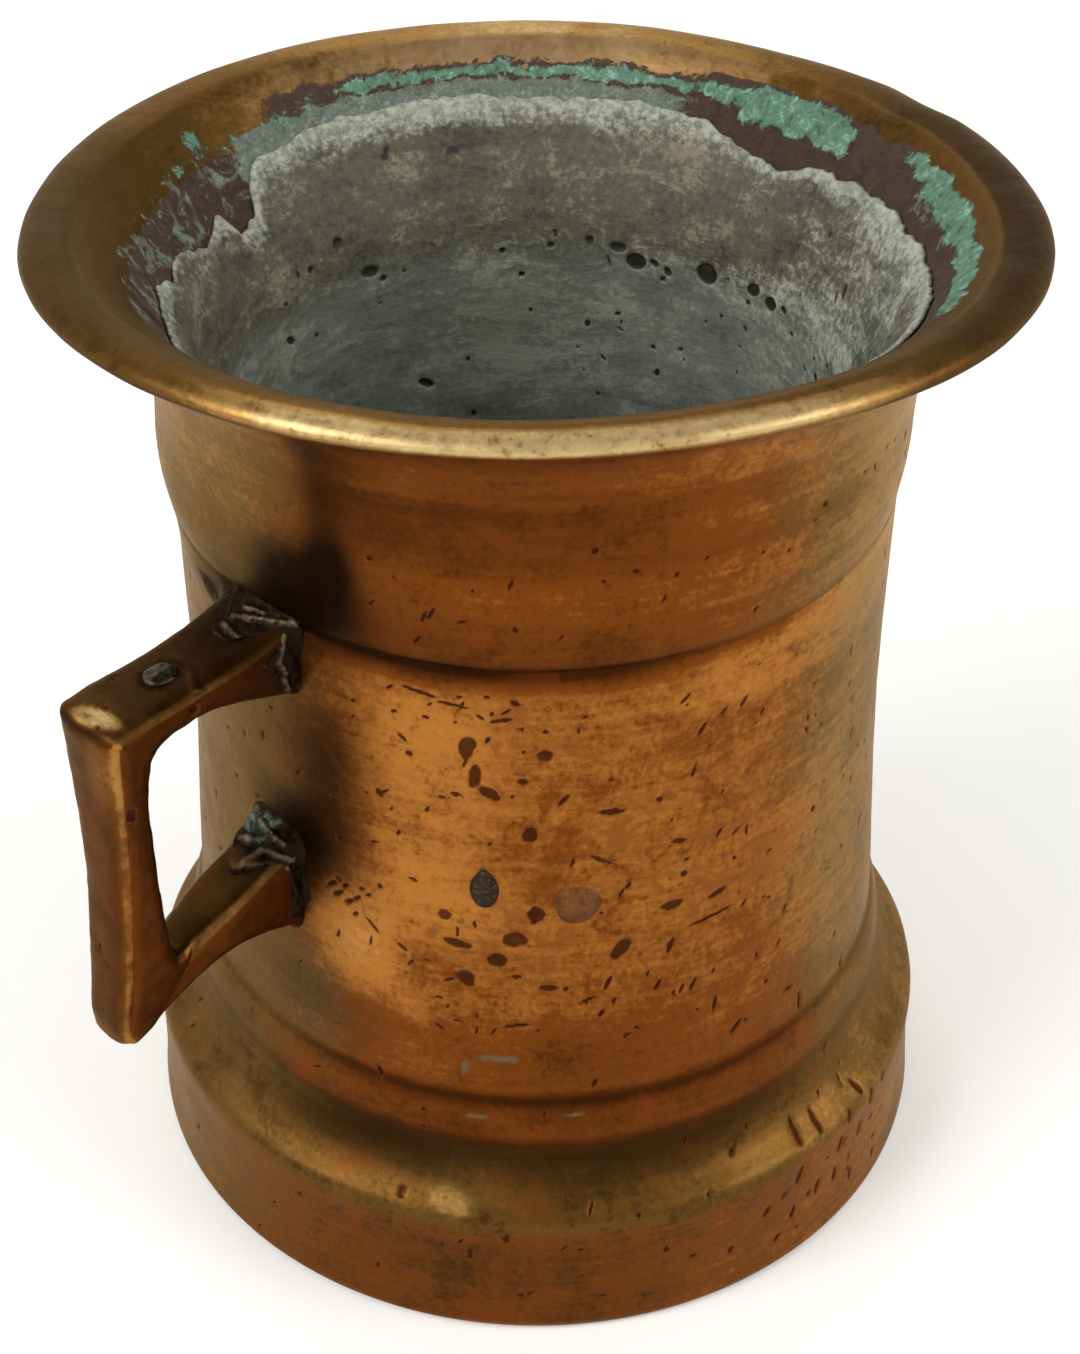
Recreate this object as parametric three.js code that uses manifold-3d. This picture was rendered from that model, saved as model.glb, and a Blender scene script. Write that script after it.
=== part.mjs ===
// An old cast bronze mortar: a grinding bowl on a heavy foot, with one angular handle.
// Millimetres, +Z up. The origin is the centre of the flat base, and the handle points to -X.
import * as THREE from 'three';
import { mergeVertices } from 'three/addons/utils/BufferGeometryUtils.js';
import Module from 'manifold-3d';

const wasm = await Module();
wasm.setup();

// Heights of the body, stacked from the base up
const footBandHeight = 19;
const footCoveHeight = 15;
const barrelHeight = 64.5;
const collarHeight = 15.5;
const flareHeight = 17;

// Radii of the body
const baseRadius = 53.8;
const footBandRadius = 52.9;
const footRidgeRadius = 53.1;
const barrelFootRadius = 45.7;
const waistRadius = 43.7;
const grooveRadius = 43.3;
const collarRadius = 44.6;
const rimRadius = 58;

// Lip and small roundings of the body
const lipThickness = 2.8;
const lipCrestWidth = 6.5;
const lipDip = 0.4;
const grooveWidth = 2.6;
const footEdge = 1.4;
const ledge = 0.4;
const coveHollow = 1.2;

// The bore
const boreRadius = 37.6;
const boreFillet = 16;
const trumpetDepth = 23;
const trumpetShoulder = 3.2;
const floorThickness = 12;

// The grey tin skin on the bore, and the bare bronze band left above it
const liningThickness = 0.7;
const bareBandHeight = 9;

// The handle, a bent bar: gripReach is the gap for the finger, from the waist to the grip
const handleDrop = 4.2;
const handleHeight = 46.5;
const gripReach = 19.2;
const gripThickness = 5.4;
const armThickness = 5;
const gripWidth = 8.2;
const elbowWidth = 11.4;
const rootWidth = 11.6;
const armRise = 10;
const handleBevel = 0.9;

// Brazing metal heaped round the two roots of the handle
const upperBrazeReach = 8;
const upperBrazeWidth = 18;
const upperBrazeHeight = 19;
const lowerBrazeReach = 10;
const lowerBrazeWidth = 16;
const lowerBrazeHeight = 18;
const brazeCoat = 1.1;

// Plugs that fill flaws of the casting: angles are round the axis, from +X
const wallPlugWidth = 5.8;
const wallPlugLength = 5.4;
const wallPlugAngle = 231.2;
const wallPlugHeight = 63.7;
const corePinWidth = 3.6;
const corePinLength = 6;
const corePinAngle = 217.2;
const corePinHeight = 66.1;
const plugDepth = 3;
const handlePlugWidth = 4.2;
const handlePlugDepth = 2.2;
const handlePlugPlace = 13.7;

// Gaps between pieces that touch on the real mortar
const seatGap = 0.3;

// Sides of the round pieces
const bodySides = 52;
const plugSides = 16;

const footTop = footBandHeight + footCoveHeight;
const grooveHeight = footTop + barrelHeight;
const neckHeight = grooveHeight + collarHeight;
const rimHeight = neckHeight + flareHeight;
const wallThickness = waistRadius - boreRadius;
const neckRadius = collarRadius + ledge;
const flareReach = rimRadius - neckRadius;
const noseHeight = rimHeight - lipThickness / 2;

const bronze = { color: 0x9a6330, roughness: 0.42, metalness: 1 };
const darkBraze = { color: 0x3b3029, roughness: 0.55, metalness: 0.8 };
const greyTin = { color: 0x7f8076, roughness: 0.7, metalness: 0.5 };
const greySolder = { color: 0x6c6354, roughness: 0.6, metalness: 0.6 };
const greenPin = { color: 0x35403a, roughness: 0.7, metalness: 0.4 };

// Turn a closed three.js geometry into a solid that can be joined and cut
function solid(geometry) {
  const bare = geometry.index ? geometry.clone() : geometry;
  bare.deleteAttribute('normal');
  bare.deleteAttribute('uv');
  const merged = mergeVertices(bare, 1e-4);
  return new wasm.Manifold(new wasm.Mesh({
    numProp: 3,
    vertProperties: new Float32Array(merged.attributes.position.array),
    triVerts: new Uint32Array(merged.index.array),
  }));
}

// Turn a solid back into a three.js geometry
function geometryOf(shape) {
  const mesh = shape.getMesh();
  const geometry = new THREE.BufferGeometry();
  geometry.setAttribute('position', new THREE.BufferAttribute(mesh.vertProperties, 3));
  geometry.setIndex(new THREE.BufferAttribute(mesh.triVerts, 1));
  geometry.computeVertexNormals();
  return geometry;
}

function piece(name, geometry, finish) {
  const mesh = new THREE.Mesh(geometry, new THREE.MeshStandardMaterial(finish));
  mesh.name = name;
  return mesh;
}

// Turn a profile, radius and height, round the upright axis
function turned(points, sides = bodySides) {
  const geometry = new THREE.LatheGeometry(points, sides);
  geometry.rotateX(Math.PI / 2);
  return geometry;
}

// Outside of the body from the base to the lip, set out by a gap
function outerProfile(gap = 0) {
  const base = baseRadius + gap;
  const ridge = footRidgeRadius + gap;
  const barrelFoot = barrelFootRadius + gap;
  const waist = waistRadius + gap;
  const groove = grooveRadius + gap;
  const collar = collarRadius + gap;
  const neck = neckRadius + gap;
  const line = new THREE.Path();
  line.moveTo(base - footEdge, 0);
  line.quadraticCurveTo(base, 0, base, footEdge);
  line.quadraticCurveTo(footBandRadius + gap, footBandHeight / 2, ridge, footBandHeight - footEdge);
  line.quadraticCurveTo(ridge, footBandHeight, ridge - footEdge, footBandHeight + footEdge / 2);
  line.quadraticCurveTo(barrelFoot + coveHollow, footBandHeight + footCoveHeight / 4,
    barrelFoot + ledge, footTop);
  line.splineThru([
    new THREE.Vector2(barrelFoot, footTop + barrelHeight / 30),
    new THREE.Vector2(barrelFoot - ledge, footTop + barrelHeight / 6),
    new THREE.Vector2(waist, footTop + barrelHeight / 2),
    new THREE.Vector2(groove + ledge, grooveHeight - grooveWidth / 2),
  ]);
  line.lineTo(groove, grooveHeight);
  line.lineTo(groove + ledge, grooveHeight + grooveWidth / 2);
  line.quadraticCurveTo(collar, grooveHeight + collarHeight / 3, collar, grooveHeight + collarHeight * 0.6);
  line.quadraticCurveTo(collar, neckHeight - collarHeight / 8, neck, neckHeight);
  line.bezierCurveTo(neck + flareReach * 0.12, neckHeight + flareHeight * 0.45,
    neck + flareReach * 0.45, noseHeight - lipThickness,
    rimRadius + gap - lipThickness / 2, noseHeight - lipThickness / 2);
  return line.getPoints(3);
}

// Inside of the body from the lip's nose down to the floor, set in by a gap
function innerProfile(gap = 0) {
  const crest = rimRadius - lipCrestWidth - gap;
  const bore = boreRadius - gap;
  const floor = floorThickness + gap;
  const line = new THREE.Path();
  line.absarc(rimRadius - lipThickness / 2, noseHeight, lipThickness / 2, -Math.PI / 2, Math.PI / 2);
  line.lineTo(crest, rimHeight - lipDip);
  line.bezierCurveTo(crest - trumpetShoulder, rimHeight - lipThickness / 2 - lipDip,
    bore + 1, rimHeight - trumpetDepth * 2 / 3, bore, rimHeight - trumpetDepth);
  line.lineTo(bore, floor + boreFillet);
  line.quadraticCurveTo(bore, floor, bore - boreFillet, floor);
  return line.getPoints(5);
}

// The wall as a full solid, for cutting whatever is seated on it
function wallEnvelope(gap) {
  const foot = new THREE.Vector2(0, 0);
  const crown = new THREE.Vector2(0, rimHeight);
  const edge = new THREE.Vector2(rimRadius + gap - lipThickness / 2, rimHeight);
  return solid(turned([foot, ...outerProfile(gap), edge, crown]));
}

const wallPlug = {
  width: wallPlugWidth, length: wallPlugLength, angle: wallPlugAngle, height: wallPlugHeight,
};
const corePin = {
  width: corePinWidth, length: corePinLength, angle: corePinAngle, height: corePinHeight,
};

// An oval plug in the wall, from its inner end to well outside the wall, set out by a gap
function plugBlank(plug, gap) {
  const inner = waistRadius - plugDepth - gap;
  const outer = waistRadius + wallThickness;
  const geometry = new THREE.CylinderGeometry(0.5, 0.5, outer - inner, plugSides);
  geometry.rotateZ(-Math.PI / 2);
  geometry.scale(1, plug.width + 2 * gap, plug.length + 2 * gap);
  geometry.translate((inner + outer) / 2, 0, 0);
  geometry.rotateZ(THREE.MathUtils.degToRad(plug.angle));
  geometry.translate(0, 0, plug.height);
  return solid(geometry);
}

// The casting, with a pocket for each plug
function body() {
  const foot = new THREE.Vector2(0, 0);
  const floor = new THREE.Vector2(0, floorThickness);
  const casting = solid(turned([foot, ...outerProfile(), ...innerProfile(), floor]));
  return geometryOf(casting.subtract(plugBlank(wallPlug, seatGap)).subtract(plugBlank(corePin, seatGap)));
}

// A plug is trimmed flush with the wall
function flushPlug(plug) {
  return geometryOf(plugBlank(plug, 0).intersect(wallEnvelope(0)));
}

// One side of the lining from its top edge down to the floor, following the bore
function liningSide(gap) {
  const top = rimHeight - bareBandHeight;
  const crest = rimRadius - lipCrestWidth;
  const bore = innerProfile(gap);
  const first = bore.findIndex((point) => point.x < crest && point.y < top);
  const share = (top - bore[first].y) / (bore[first - 1].y - bore[first].y);
  const edge = bore[first].clone().lerp(bore[first - 1], share);
  return [edge, ...bore.slice(first)];
}

function lining() {
  const outer = liningSide(seatGap);
  const inner = liningSide(seatGap + liningThickness);
  const underside = new THREE.Vector2(0, floorThickness + seatGap);
  const floor = new THREE.Vector2(0, floorThickness + seatGap + liningThickness);
  return turned([underside, ...outer.reverse(), ...inner, floor]);
}

// Handle: seen from the side, x outwards from the axis and y upwards
const gripInner = waistRadius + gripReach;
const gripOuter = gripInner + gripThickness;
const handleTop = grooveHeight - handleDrop;
const handleBottom = handleTop - handleHeight;

function handleOutline(gap) {
  const root = -(waistRadius - wallThickness / 2);
  const nearWall = -(waistRadius + gripReach * 0.27);
  const midArm = -(waistRadius + gripReach * 0.6);
  const outside = -(gripOuter + gap);
  const inside = -(gripInner - gap);
  const top = handleTop + gap;
  const armUnder = handleTop - armThickness - gap;
  const lowerTop = handleBottom + armRise + gap;
  const lowerUnder = handleBottom + armRise - 3 - gap;
  const outline = new THREE.Shape();
  outline.moveTo(root, top + 1.8);
  outline.quadraticCurveTo(nearWall, top + 0.4, midArm, top);
  outline.lineTo(outside + 3, top - 0.8);
  outline.quadraticCurveTo(outside - 0.5, top - 1, outside - 0.3, top - 5);
  outline.quadraticCurveTo(outside + 0.6, handleBottom + handleHeight / 2, outside - 1.6, handleBottom + 3.5);
  outline.quadraticCurveTo(outside - 1.5, handleBottom - 1.6 - gap, outside + 2.5, handleBottom + 0.6 - gap);
  outline.lineTo(midArm, lowerUnder);
  outline.quadraticCurveTo(nearWall, lowerUnder + 1, root, lowerUnder - 0.5);
  outline.lineTo(root, lowerTop + 6.5);
  outline.lineTo(-(waistRadius + gripReach * 0.47), lowerTop + 3.2);
  outline.lineTo(inside + 1.2, lowerTop);
  outline.quadraticCurveTo(inside, lowerTop + 1, inside, lowerTop + 4);
  outline.lineTo(inside, armUnder - 4);
  outline.quadraticCurveTo(inside, armUnder, inside + 4, armUnder + 0.4);
  outline.quadraticCurveTo(midArm, armUnder + 0.6, root, armUnder - 2);
  outline.closePath();
  return outline;
}

// Half the width of the bar at a place on the outline
function barHalfWidth(reach, height) {
  const out = THREE.MathUtils.smoothstep(reach, waistRadius, gripInner);
  const up = THREE.MathUtils.smoothstep(height, handleBottom + handleHeight * 0.45, handleTop - armThickness);
  const endWidth = THREE.MathUtils.lerp(gripWidth, elbowWidth, up);
  return THREE.MathUtils.lerp(rootWidth, endWidth, out) / 2;
}

function bar(gap) {
  const depth = rootWidth - 2 * handleBevel;
  const geometry = new THREE.ExtrudeGeometry(handleOutline(gap), {
    depth, steps: 1, curveSegments: 5,
    bevelEnabled: true, bevelSegments: 2,
    bevelThickness: handleBevel, bevelSize: handleBevel, bevelOffset: -handleBevel,
  });
  geometry.translate(0, 0, -depth / 2);
  const place = geometry.attributes.position;
  for (let i = 0; i < place.count; i += 1) {
    const half = barHalfWidth(-place.getX(i), place.getY(i)) + gap;
    place.setZ(i, place.getZ(i) * half / (rootWidth / 2));
  }
  geometry.rotateX(Math.PI / 2);
  return solid(geometry);
}

function handlePlugSolid(gap, top) {
  const bottom = handleTop - handlePlugDepth - gap;
  const radius = handlePlugWidth / 2 + gap;
  const geometry = new THREE.CylinderGeometry(radius, radius, top - bottom, plugSides);
  geometry.rotateX(Math.PI / 2);
  geometry.translate(-(waistRadius + handlePlugPlace), 0, (top + bottom) / 2);
  return solid(geometry);
}

// A lump that swells out of the wall, centred at a height
function lump(reach, width, height, centreHeight, ripples) {
  const geometry = new THREE.SphereGeometry(1, 20, 14);
  const place = geometry.attributes.position;
  const point = new THREE.Vector3();
  for (let i = 0; i < place.count; i += 1) {
    point.fromBufferAttribute(place, i);
    const swell = 1 + 0.05 * Math.sin(ripples * point.y + 1.3) * Math.cos(ripples * point.z);
    place.setXYZ(i, point.x * swell * 2 * reach, point.y * swell * width / 2, point.z * swell * height / 2);
  }
  geometry.translate(-(waistRadius - reach), 0, centreHeight);
  return solid(geometry);
}

// Collar of brazing metal: a heap on the wall and a coat on the bar, cut clear of both
function braze(reach, width, height, centreHeight, ripples) {
  const heap = lump(reach * 0.6, width, height, centreHeight, ripples);
  const edge = lump(reach, width * 1.3, height * 1.4, centreHeight, ripples);
  const coat = bar(seatGap + brazeCoat).intersect(edge);
  return geometryOf(heap.add(coat).subtract(wallEnvelope(seatGap)).subtract(bar(seatGap)));
}

const handle = bar(0)
  .subtract(wallEnvelope(seatGap))
  .subtract(handlePlugSolid(seatGap, handleTop + armThickness));

const mortar = new THREE.Group();
mortar.add(piece('mortar_body', body(), bronze));
mortar.add(piece('tin_lining', lining(), greyTin));
mortar.add(piece('wall_plug', flushPlug(wallPlug), greySolder));
mortar.add(piece('core_pin', flushPlug(corePin), greenPin));

const handleGroup = new THREE.Group();
handleGroup.add(piece('handle', geometryOf(handle), bronze));
handleGroup.add(piece('handle_plug', geometryOf(handlePlugSolid(0, handleTop)), greySolder));
handleGroup.add(piece('upper_braze', braze(upperBrazeReach, upperBrazeWidth, upperBrazeHeight,
  handleTop - armThickness / 2, 3), darkBraze));
handleGroup.add(piece('lower_braze', braze(lowerBrazeReach, lowerBrazeWidth, lowerBrazeHeight,
  handleBottom + armRise + 1.5, 4), darkBraze));
mortar.add(handleGroup);

export default mortar;
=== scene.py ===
import math
import random

import bmesh
import bpy
import numpy as np
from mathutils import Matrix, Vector, noise


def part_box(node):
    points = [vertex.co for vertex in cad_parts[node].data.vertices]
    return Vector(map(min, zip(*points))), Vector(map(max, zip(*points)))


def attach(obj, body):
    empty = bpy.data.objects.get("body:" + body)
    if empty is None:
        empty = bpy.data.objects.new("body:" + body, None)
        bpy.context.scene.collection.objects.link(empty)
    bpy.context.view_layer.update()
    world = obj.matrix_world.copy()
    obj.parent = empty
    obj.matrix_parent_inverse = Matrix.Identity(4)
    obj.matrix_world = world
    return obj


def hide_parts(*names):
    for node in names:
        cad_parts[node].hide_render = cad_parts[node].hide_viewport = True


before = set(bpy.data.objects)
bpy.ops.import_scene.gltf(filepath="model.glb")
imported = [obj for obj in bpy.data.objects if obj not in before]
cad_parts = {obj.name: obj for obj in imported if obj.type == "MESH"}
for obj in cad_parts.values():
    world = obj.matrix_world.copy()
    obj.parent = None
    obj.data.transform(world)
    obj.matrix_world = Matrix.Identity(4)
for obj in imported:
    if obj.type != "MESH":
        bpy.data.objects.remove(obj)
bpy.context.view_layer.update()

MM = 0.001

# Heights of the body: the bore's floor, the groove, where the bore flares, and the lip's crest
FLOOR = 12.0
GROOVE = 98.5
TRUMPET = 108.0
CREST_HEIGHT = 130.6
# Radii of the body, from the axis
BASE_RADIUS = 53.8
WAIST = 43.7
COLLAR = 44.6
CREST_RADIUS = 51.5
BORE = 37.6
# Rounds at the edge of the base and between the bore's wall and its floor
BASE_EDGE = 1.4
FILLET = 16.0
# Where the flare ends below the lip's nose: radius and height
NOSE_START = (56.4, 128.2)
# The skin of tin in the bore
LINING_GAP = 0.3
LINING_THICK = 0.6
# How thick the brazing metal still is where it ends on the bar
BRAZE_COAT = 0.3
# Places of the two plugs in the wall: angle and height
WALL_PLUG = (231.2, 63.7)
CORE_PIN = (217.2, 66.1)
# The camera looks at this side of the wall
FRONT = 225.0


def smooth(value, low, high):
    """0 below low, 1 above high, and an even rise between; high may be the lower one."""
    share = np.clip((value - low) / (high - low), 0.0, 1.0)
    return share * share * (3.0 - 2.0 * share)


def turn(angle, centre):
    """How far an angle lies round from a centre, in degrees, from -180 to 180."""
    return (angle - centre + 180.0) % 360.0 - 180.0


def bell(angle, centre, half):
    """A soft hump round the axis, 1 at its centre and 0 half degrees away."""
    return np.clip(1.0 - (turn(angle, centre) / half) ** 2, 0.0, 1.0) ** 2


def hump(value, centre, half):
    """A soft hump along a straight measure."""
    return np.clip(1.0 - ((value - centre) / half) ** 2, 0.0, 1.0) ** 2


def band(value, low, high, edge):
    """1 between two heights, with edges that fade over edge."""
    return smooth(value, low - edge, low + edge) * smooth(value, high + edge, high - edge)


def wobble(points, size, seed):
    """Noise from -1 to 1 at each point; size is the width of its features in millimetres."""
    shift = Vector((seed * 17.3, seed * 5.1, seed * 9.7))
    return np.array([noise.noise(Vector(p) / size + shift) for p in points])


def rough(points, size, seed, octaves=4):
    """Noise with finer noise in it, about -1 to 1."""
    shift = Vector((seed * 11.9, seed * 7.3, seed * 3.1))
    return np.array([noise.fractal(Vector(p) / size + shift, 1.0, 2.0, octaves) for p in points])


def quadratic(start, pull, end, steps):
    share = np.linspace(0.0, 1.0, steps + 1)[1:, None]
    start, pull, end = (np.array(p, float) for p in (start, pull, end))
    curve = (1 - share) ** 2 * start + 2 * (1 - share) * share * pull + share ** 2 * end
    return [tuple(p) for p in curve]


def cubic(start, first, second, end, steps):
    share = np.linspace(0.0, 1.0, steps + 1)[1:, None]
    start, first, second, end = (np.array(p, float) for p in (start, first, second, end))
    curve = ((1 - share) ** 3 * start + 3 * (1 - share) ** 2 * share * first
             + 3 * (1 - share) * share ** 2 * second + share ** 3 * end)
    return [tuple(p) for p in curve]


def straight(start, end, steps):
    share = np.linspace(0.0, 1.0, steps + 1)[1:, None]
    curve = np.array(start, float) * (1 - share) + np.array(end, float) * share
    return [tuple(p) for p in curve]


def outer_profile():
    """Radius and height of the outside, from the edge of the base up to the lip's nose."""
    line = [(BASE_RADIUS - BASE_EDGE, 0.0)]
    line += quadratic(line[-1], (BASE_RADIUS, 0.0), (BASE_RADIUS, BASE_EDGE), 4)
    line += quadratic(line[-1], (52.9, 9.5), (53.1, 17.0), 15)
    line += quadratic(line[-1], (53.1, 18.7), (51.7, 19.6), 5)
    line += quadratic(line[-1], (48.0, 22.2), (47.3, 26.6), 10)
    line += quadratic(line[-1], (47.5, 30.6), (46.5, 33.3), 9)
    line += quadratic(line[-1], (46.2, 34.0), (45.8, 34.6), 3)
    line += quadratic(line[-1], (44.4, 54.0), (WAIST, 69.0), 34)
    line += straight(line[-1], (WAIST, 96.8), 27)
    line += quadratic(line[-1], (43.6, 97.7), (42.9, GROOVE), 4)
    line += quadratic(line[-1], (43.2, 99.3), (43.9, 99.8), 3)
    line += quadratic(line[-1], (COLLAR, 103.7), (COLLAR, 107.4), 9)
    line += quadratic(line[-1], (COLLAR, 110.9), (44.9, 113.4), 7)
    line += cubic(line[-1], (45.9, 121.4), (50.8, 126.8), NOSE_START, 20)
    return line


def lip_profile():
    """Round the lip's nose and over its top to the crest of the bore."""
    line = cubic(NOSE_START, (58.5, 128.4), (58.7, 130.6), (55.2, 131.0), 14)
    line += quadratic(line[-1], (53.3, 131.2), (CREST_RADIUS, CREST_HEIGHT), 6)
    return line


def bore_profile(steps):
    """From the crest down the flare to the straight bore."""
    return cubic((CREST_RADIUS, CREST_HEIGHT), (48.3, 129.2), (38.6, 115.7), (BORE, TRUMPET), steps)


OUTER = np.array(outer_profile())
FLARE = np.array([(CREST_RADIUS, CREST_HEIGHT)] + bore_profile(60))


def outer_radius(height):
    return np.interp(height, OUTER[:, 1], OUTER[:, 0])


def bore_radius(height):
    return np.interp(height, FLARE[::-1, 1], FLARE[::-1, 0])


def on_wall(angle, height, out=0.0):
    """A point on the outside of the body, standing out by a distance."""
    radius = float(outer_radius(height)) + out
    turned = math.radians(angle)
    return Vector((radius * math.cos(turned), radius * math.sin(turned), height))


# Marks on the wall that show most: angle, height, length, width, tilt from level
BLOTCHES = (
    (226, 85.4, 2.2, 1.8, 0), (224, 74.3, 2.5, 2.1, 60), (225, 62.5, 2.5, 2.1, 80),
    (211, 61.5, 1.9, 1.6, 0), (213, 57.4, 3.7, 1.4, -8), (222, 58.6, 3.2, 2.4, 0),
    (214, 52.3, 3.2, 2.4, -50), (219, 55.5, 2.8, 2.2, 0), (227, 51.3, 2.6, 1.1, 0),
    (222, 53.0, 1.4, 0.9, 0), (238, 56.5, 3.5, 2.0, 55), (215, 86.2, 3.6, 2.0, 80),
    (216, 82.2, 3.6, 1.6, 80), (218, 80.0, 3.2, 1.8, -30), (201, 77.3, 1.4, 0.9, -50),
    (211, 78.6, 1.0, 0.8, 0), (213, 79.4, 1.2, 0.8, 0), (222, 94.9, 1.5, 0.9, -50),
    (220, 91.4, 2.8, 0.9, 22), (206, 65.7, 1.4, 0.6, -10), (210, 48.6, 1.3, 0.6, 0),
    (248, 65.6, 1.0, 1.0, 0), (246, 61.4, 3.4, 1.5, 0), (254, 61.0, 2.8, 0.9, 15),
    (247, 70.7, 2.3, 0.9, -8), (193, 62.1, 1.4, 0.9, -40), (223, 81.8, 1.6, 0.9, 0),
    (236, 76.9, 4.0, 0.9, -4), (235, 69.9, 4.2, 0.8, -30), (239, 42.7, 1.4, 0.7, 20),
    (247, 9.1, 1.4, 0.8, 0), (231, 14.4, 1.1, 0.7, 0), (206, 19.9, 1.1, 0.9, 0),
    (221, 16.5, 2.1, 1.1, 80), (223, 6.2, 1.4, 0.9, 0), (234, 5.5, 1.4, 0.7, 0),
)
CUTS = (
    (205, 85.9, 2.1, 0.5, -45), (214, 95.2, 1.1, 0.5, 20), (218, 95.6, 1.0, 0.5, -20),
    (217, 91.7, 1.6, 0.5, -50), (223, 89.7, 1.1, 0.4, 85), (218, 87.4, 1.5, 0.5, 65),
    (229, 79.1, 2.4, 0.6, 50), (232, 91.8, 1.0, 0.5, 55), (199, 57.0, 3.2, 0.5, -45),
    (204, 55.1, 2.1, 0.5, -35), (208, 53.9, 1.4, 0.4, 10), (210, 44.0, 2.1, 0.5, -35),
    (213, 45.4, 1.8, 0.4, -8), (222, 45.4, 4.1, 0.5, 8), (236, 51.3, 2.8, 0.6, 68),
    (233, 49.1, 2.5, 0.5, 22), (237, 48.4, 1.4, 0.5, 70), (235, 46.7, 1.5, 0.6, 60),
    (200, 34.9, 1.7, 0.6, -60), (234, 36.4, 1.7, 0.6, 68), (246, 55.2, 3.0, 0.7, 70),
    (247, 92.2, 2.5, 0.5, 55), (257, 88.2, 2.3, 0.5, 62), (250, 86.1, 2.4, 0.6, 60),
    (249, 80.5, 2.5, 0.4, 75), (254, 69.9, 1.8, 0.5, 60), (264, 63.6, 1.1, 0.4, 25),
    (257, 65.2, 1.0, 0.5, -70), (239, 65.6, 1.6, 0.5, 60), (244, 49.6, 2.3, 0.6, 60),
    (248, 48.0, 1.6, 0.5, 65), (250, 48.1, 2.5, 0.6, 65), (254, 43.8, 3.0, 0.6, 82),
    (258, 38.9, 2.8, 0.7, 40), (272, 36.8, 3.4, 0.6, 92), (269, 39.9, 2.1, 0.5, -5),
    (285, 36.0, 2.3, 0.5, 80), (268, 53.2, 1.6, 0.5, 55), (253, 57.7, 7.6, 0.5, 7),
    (262, 48.4, 1.1, 0.6, 80), (283, 80.3, 1.4, 0.5, 40), (272, 85.2, 1.4, 0.4, 30),
    (271, 78.9, 1.4, 0.5, -50), (286, 71.6, 1.6, 0.5, 45), (295, 63.0, 1.4, 0.5, 60),
    (287, 63.9, 1.4, 0.6, 40), (208, 95.0, 5.2, 0.6, -13), (213, 93.6, 4.6, 0.6, -9),
    (280, 19.6, 2.4, 0.8, 100), (282, 16.9, 3.6, 0.8, 85), (276, 17.6, 3.0, 0.8, 75),
    (270, 20.0, 3.4, 0.7, 80), (266, 20.4, 3.6, 0.7, 78), (274, 13.8, 3.8, 0.9, 80),
    (265, 14.5, 3.8, 0.9, 75), (269, 9.4, 3.2, 0.8, 75), (259, 11.1, 2.4, 0.8, 65),
    (279, 12.9, 3.4, 0.8, 80), (273, 8.9, 3.0, 0.8, 82), (277, 5.9, 2.6, 0.8, 85),
    (264, 8.1, 2.6, 0.8, 70), (284, 4.0, 2.2, 0.7, 80), (261, 5.2, 1.8, 0.7, 50),
    (253, 7.4, 1.6, 0.8, 80), (243, 11.6, 1.2, 0.8, 30), (255, 21.6, 1.6, 0.5, 40),
    (216, 13.0, 2.6, 0.8, 85), (239, 18.8, 1.1, 0.5, 20),
    (191.5, 61.0, 2.3, 0.5, 42), (192.8, 60.0, 2.6, 0.5, 40), (194.2, 61.6, 1.6, 0.5, 38),
    (194.8, 59.4, 2.2, 0.5, 36), (196.4, 60.4, 1.7, 0.5, 40), (197.2, 62.0, 1.1, 0.5, 30),
    (196.0, 57.8, 1.4, 0.5, 42), (198.4, 61.4, 1.2, 0.4, 36), (286, 17.4, 1.8, 0.5, 75),
    (262, 12.4, 1.6, 0.5, 60), (190, 13.8, 1.1, 0.7, 0),
)
# Grey green stains on the front, in the same terms
GREEN_MARKS = ((219.5, 40.2, 7.0, 1.6, 0), (214, 38.6, 2.0, 3.4, 0), (216, 32.0, 3.4, 1.2, 0),
               (231, 32.6, 3.0, 1.0, 0))
# Pits in the tin, seen on the far side of the bore: angle, height, length, width, tilt
TIN_PITS = (
    (87, 112.5, 1.4, 1.2, 0), (81, 107.7, 2.6, 1.5, 10), (69, 89.3, 2.6, 1.1, 30),
    (103, 103.1, 1.9, 1.0, 40), (28, 108.6, 2.2, 1.3, 0), (24, 107.0, 2.8, 2.3, 0),
    (20, 107.2, 1.4, 0.9, 30), (17, 106.4, 1.3, 1.0, 50), (18, 105.2, 0.9, 0.7, 0),
    (8, 107.6, 3.1, 2.9, 0), (356, 107.9, 2.3, 1.7, -25), (351, 107.2, 2.1, 1.9, -30),
    (347, 107.4, 1.2, 1.0, 0), (344, 104.9, 0.8, 0.7, 0), (331, 114.4, 1.7, 1.0, 70),
    (34, 109.2, 1.1, 0.8, 0), (42, 108.2, 1.0, 0.7, 0), (95, 110.8, 0.9, 0.8, 0),
    (78, 106.2, 1.0, 0.8, 0), (52, 107.5, 0.9, 0.7, 0), (326, 105.0, 2.0, 0.6, 75),
    (60, 119.6, 1.5, 1.0, 0), (72, 120.4, 1.6, 1.0, -40), (48, 104.0, 0.9, 0.8, 0),
)


def mark_depth(angle, height, radius, mark):
    """1 in the middle of a mark and 0 from its edge on, for arrays of places."""
    at, level, length, width, tilt = mark
    across = np.radians(turn(angle, at)) * radius
    up = height - level
    lean = math.radians(tilt)
    along = across * math.cos(lean) + up * math.sin(lean)
    aside = -across * math.sin(lean) + up * math.cos(lean)
    reach = (along / (length / 2)) ** 2 + (aside / (width / 2)) ** 2
    return np.clip(1.0 - reach, 0.0, 1.0)


def ragged_spot(depth, points):
    """A spot whose edge wanders."""
    return smooth(depth + 0.45 * rough(points, 2.2, 17), 0.15, 0.6) * smooth(depth, 0.0, 0.15)


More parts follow.
